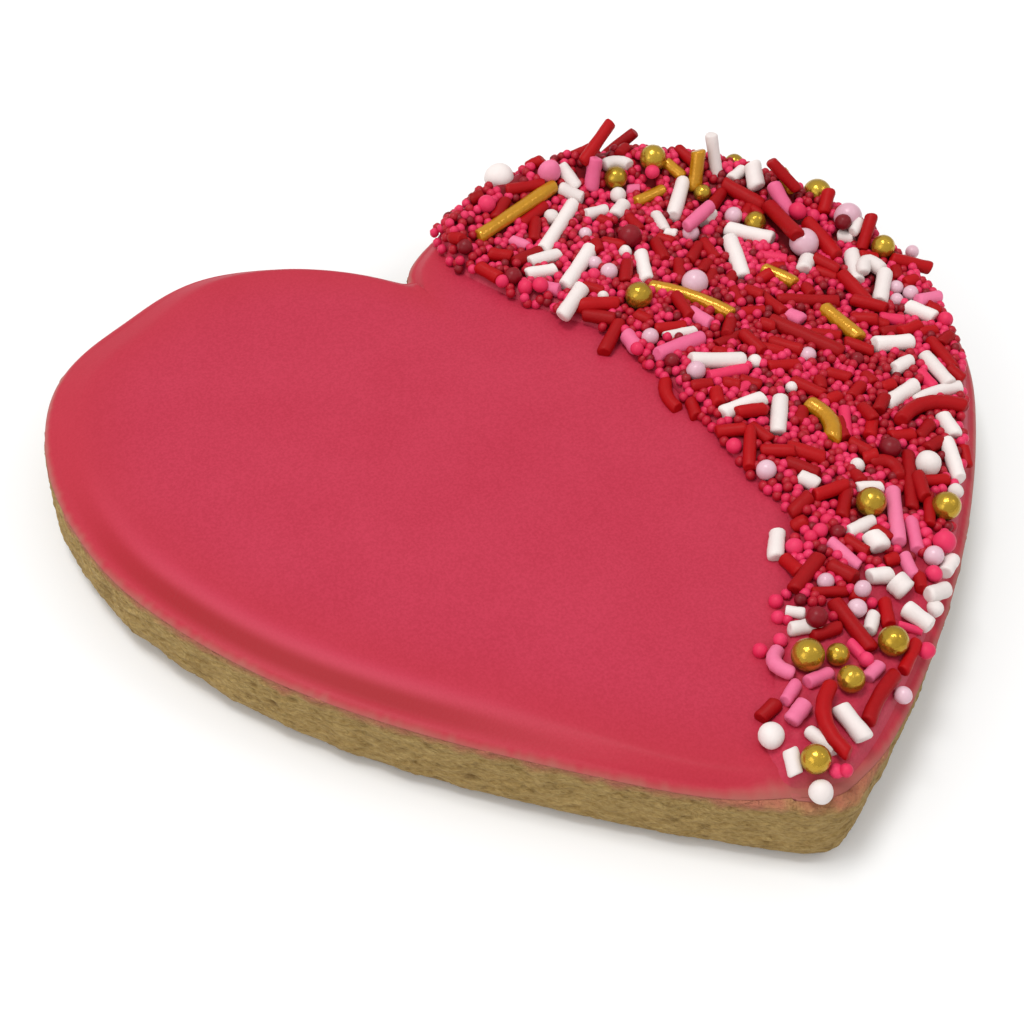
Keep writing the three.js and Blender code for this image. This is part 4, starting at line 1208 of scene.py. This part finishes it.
def sprinkle_bed():
    """A lens between the rim and the sprinkles' inner edge: each row runs straight across,
    raised by the bed's height except at its edges, over an underside sunk in the icing."""
    edge = spline_points(SPRINKLE_EDGE, BED_ALONG)[:-BED_TIP_ROWS]
    rim = sprinkle_rim(BED_ALONG)[:-BED_TIP_ROWS]
    across = (edge - rim) / np.hypot(*(edge - rim).T)[:, None]
    rim = rim + across * icing_setback(depth_inside(rim, OUTLINE)[1] / FINE_STEPS)[:, None]
    share = np.linspace(0, 1, BED_ACROSS + 1)[:, None]
    xy = rim[:, None] * (1 - share) + edge[:, None] * share
    flat = xy.reshape(-1, 2)
    inset, place = smooth_depth(flat, OUTLINE)
    at = place / FINE_STEPS
    setback = icing_setback(at)
    icing = icing_height(inset, at)
    covered, _ = smooth_depth(flat, SPRINKLE_REGION)
    middle = ease(covered, *BED_MIDDLE)
    raised = bed_height(inset, at) * ease(covered, 0, BED_RUN) * ease(inset - setback, *BED_RISES)
    lumps = ripples(flat, **BED_LUMPS) * middle
    # the two faces share the points of the outer rows and columns
    inside = np.zeros(xy.shape[:2], dtype=bool)
    inside[1:-1, 1:-1] = True
    inner = inside.ravel()
    under_z = np.maximum(icing - SINK, dough_height(inset, CLEARANCE))
    top = np.c_[flat, np.where(inner, icing + raised + lumps - BED_SUNK, under_z)]
    under = np.c_[flat, under_z][inner]
    lower = np.arange(len(flat))
    lower[inner] = len(flat) + np.arange(len(under))
    quads = grid_faces(*xy.shape[:2], wrap=False)
    faces = np.vstack([quads, lower[quads][:, ::-1]])
    # painted shade between the beads, where they lie thick
    painted_gap_shade = middle * ease(flat[:, 1], *THINNING)
    thin = thinness(inset - setback, setback)
    return make_mesh("sprinkle_bed", np.vstack([top, under]), faces.tolist(), {
        "painted_gap_shade": np.r_[painted_gap_shade, painted_gap_shade[inner]], "thin": np.r_[thin, thin[inner]],
    })


# ---- Putting it together ----

def dress(piece, material, node):
    """Gives a piece its material, puts it under the root body and hides the part of the node it replaces.
    """
    piece.data.materials.append(material)
    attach(piece, "root")
    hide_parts(node)


rods, balls = lay_everything()
shape_random = make_random(SEEDS["rod_shapes"])

dress(cookie_dough(), baked_dough(), "cookie")
dress(icing_skin(), set_icing(), "icing")
dress(sprinkle_bed(), sugar_bed(), "icing")

# each kind's name, two shades, roughness, gloss and depth of grain (mm)
PASTES = {
    "white": ("white_sugar_paste", "#d6cac6", "#e6dcd8", 0.6, 0.3, 0.02),
    "red": ("red_sugar_paste", "#86040a", "#ae080f", 0.5, 0.14, 0.02),
    "rose": ("rose_sugar_paste", "#d01c48", "#e03a66", 0.5, 0.25, 0.02),
    "wine": ("wine_sugar_paste", "#6a0412", "#860a1a", 0.4, 0.25, 0.02),
    "pink": ("pink_sugar_paste", "#d6547e", "#e0789a", 0.55, 0.25, 0.02),
    "pearl": ("pearl_pink_panned_sugar", "#cd9dac", "#dab7c2", 0.3, 0.5, 0.008),
}
paste = {kind: sugar_paste(*recipe) for kind, recipe in PASTES.items()}
rod_finish = {**paste, "gold": gold_lustre("rubbed_gold_lustre", "#b0760e", "#c98f18", 0.4)}
ball_finish = {**paste, "gold": gold_lustre("polished_gold_lustre", "#9c7a1e", "#bf9a34", 0.8)}

# balls have this many points round them and steps down them; the beads have fewer
BALL_GRID = (24, 14)
BEAD_GRID = (8, 5)
# how uneven each kind is, as a share of the radius
LUMPINESS = {"gold": 0.004, "white": 0.03, "pearl": 0.012, "pink": 0.04, "rose": 0.02, "wine": 0.01}
BEAD_LUMPINESS = 0.015
for kind in ("gold", "white", "pink", "rose", "red"):
    dress(rods_mesh(f"rods_{kind}", rods[kind], shape_random), rod_finish[kind], "icing")
for kind, lumpiness in LUMPINESS.items():
    piece = balls_mesh(f"balls_{kind}", balls[kind], *BALL_GRID, lumpiness)
    dress(piece, ball_finish[kind], "icing")
beads = balls_mesh("fine_beads", balls["bead"], *BEAD_GRID, BEAD_LUMPINESS)
dress(beads, bead_sugar(), "icing")

# ---- Studio, in metres ----

FLOOR_HALF = 3.0
# the room is brighter on one side: the least and most light, for directions away from it
# (at ROOM_TURNED) and straight towards it
BRIGHT_SIDE = (-0.5, -0.1, 0.86)
ROOM_TURNED = -0.6
ROOM_LIGHT = (0.5, 0.86)
# softboxes aimed at the cookie: place, width and power in watts
SOFTBOXES = {
    "key": ((-0.21, 0.15, 0.9), 0.3, 3.95),
    "fill": ((0.5, -0.3, 0.8), 0.22, 0.6),
    "side": ((-0.8, -0.1, 0.45), 0.5, 1.2),
}
# camera: direction from the cookie, lean, distance and the point it looks at (mm), and focal
# length (in picture widths)
CAMERA_AZIMUTH = math.radians(-35)
CAMERA_HEIGHT = math.radians(47.5)
CAMERA_LEAN = math.radians(6)
CAMERA_DISTANCE = 177.6
CAMERA_LOOKS_AT = (-4.7, -10.36, 3.0)
PICTURE_WIDTHS = 1800 / 1024
SENSOR = 36
NEAREST_SHOWN = 0.01


def floor():
    """A square card, far larger than the cookie."""
    corners = [(x * FLOOR_HALF, y * FLOOR_HALF, 0) for x, y in ((-1, -1), (1, -1), (1, 1), (-1, 1))]
    mesh = bpy.data.meshes.new("floor")
    mesh.from_pydata(corners, [], [(0, 1, 2, 3)])
    mesh.materials.append(studio_floor())
    card = bpy.data.objects.new("floor", mesh)
    bpy.context.scene.collection.objects.link(card)


def room():
    """Even white light, whose strength grows with how far each direction points to one side."""
    world = bpy.data.worlds.new("studio")
    world.use_nodes = True
    tree = world.node_tree
    toward = add(tree, "ShaderNodeTexCoord").outputs["Generated"]
    share = add(tree, "ShaderNodeVectorMath", {0: toward, 1: BRIGHT_SIDE}, operation="DOT_PRODUCT")
    strength = add(tree, "ShaderNodeMapRange", {
        "Value": share.outputs["Value"], "From Min": ROOM_TURNED, "From Max": 1.0,
        "To Min": ROOM_LIGHT[0], "To Max": ROOM_LIGHT[1],
    })
    background = tree.nodes["Background"].inputs
    tree.links.new(strength.outputs["Result"], background["Strength"])
    background["Color"].default_value = (1, 1, 1, 1)
    bpy.context.scene.world = world


def stand(name, data, place, side, top, back):
    """Puts a light or camera down with its own x, y and z along the three directions."""
    holder = bpy.data.objects.new(name, data)
    holder.matrix_world = Matrix.Translation(place) @ Matrix(np.c_[side, top, back].tolist()).to_4x4()
    bpy.context.scene.collection.objects.link(holder)
    return holder


def softbox(name, place, width, power):
    """A square light that faces the cookie."""
    lamp = bpy.data.lights.new(name, "AREA")
    lamp.size = width
    lamp.energy = power
    back = np.array(place) / np.linalg.norm(place)
    side = np.cross((0, 0, 1), back)
    side /= np.linalg.norm(side)
    stand(name, lamp, place, side, np.cross(back, side), back)


def camera():
    """Stands back from the point it looks at along its direction, with its upright leaning."""
    a, e, r = CAMERA_AZIMUTH, CAMERA_HEIGHT, CAMERA_LEAN
    back = np.array([math.sin(a) * math.cos(e), -math.cos(a) * math.cos(e), math.sin(e)])
    level = np.array([math.cos(a), math.sin(a), 0])
    upright = np.cross(back, level)
    side = math.cos(r) * level + math.sin(r) * upright
    top = -math.sin(r) * level + math.cos(r) * upright
    lens = bpy.data.cameras.new("camera")
    lens.sensor_width = SENSOR
    lens.lens = PICTURE_WIDTHS * SENSOR
    lens.clip_start = NEAREST_SHOWN
    place = to_frame(CAMERA_LOOKS_AT) + back * CAMERA_DISTANCE * MM
    bpy.context.scene.camera = stand("camera", lens, place, side, top, back)


floor()
room()
for name, settings in SOFTBOXES.items():
    softbox(name, *settings)
camera()
bpy.context.scene.view_settings.view_transform = "Standard"
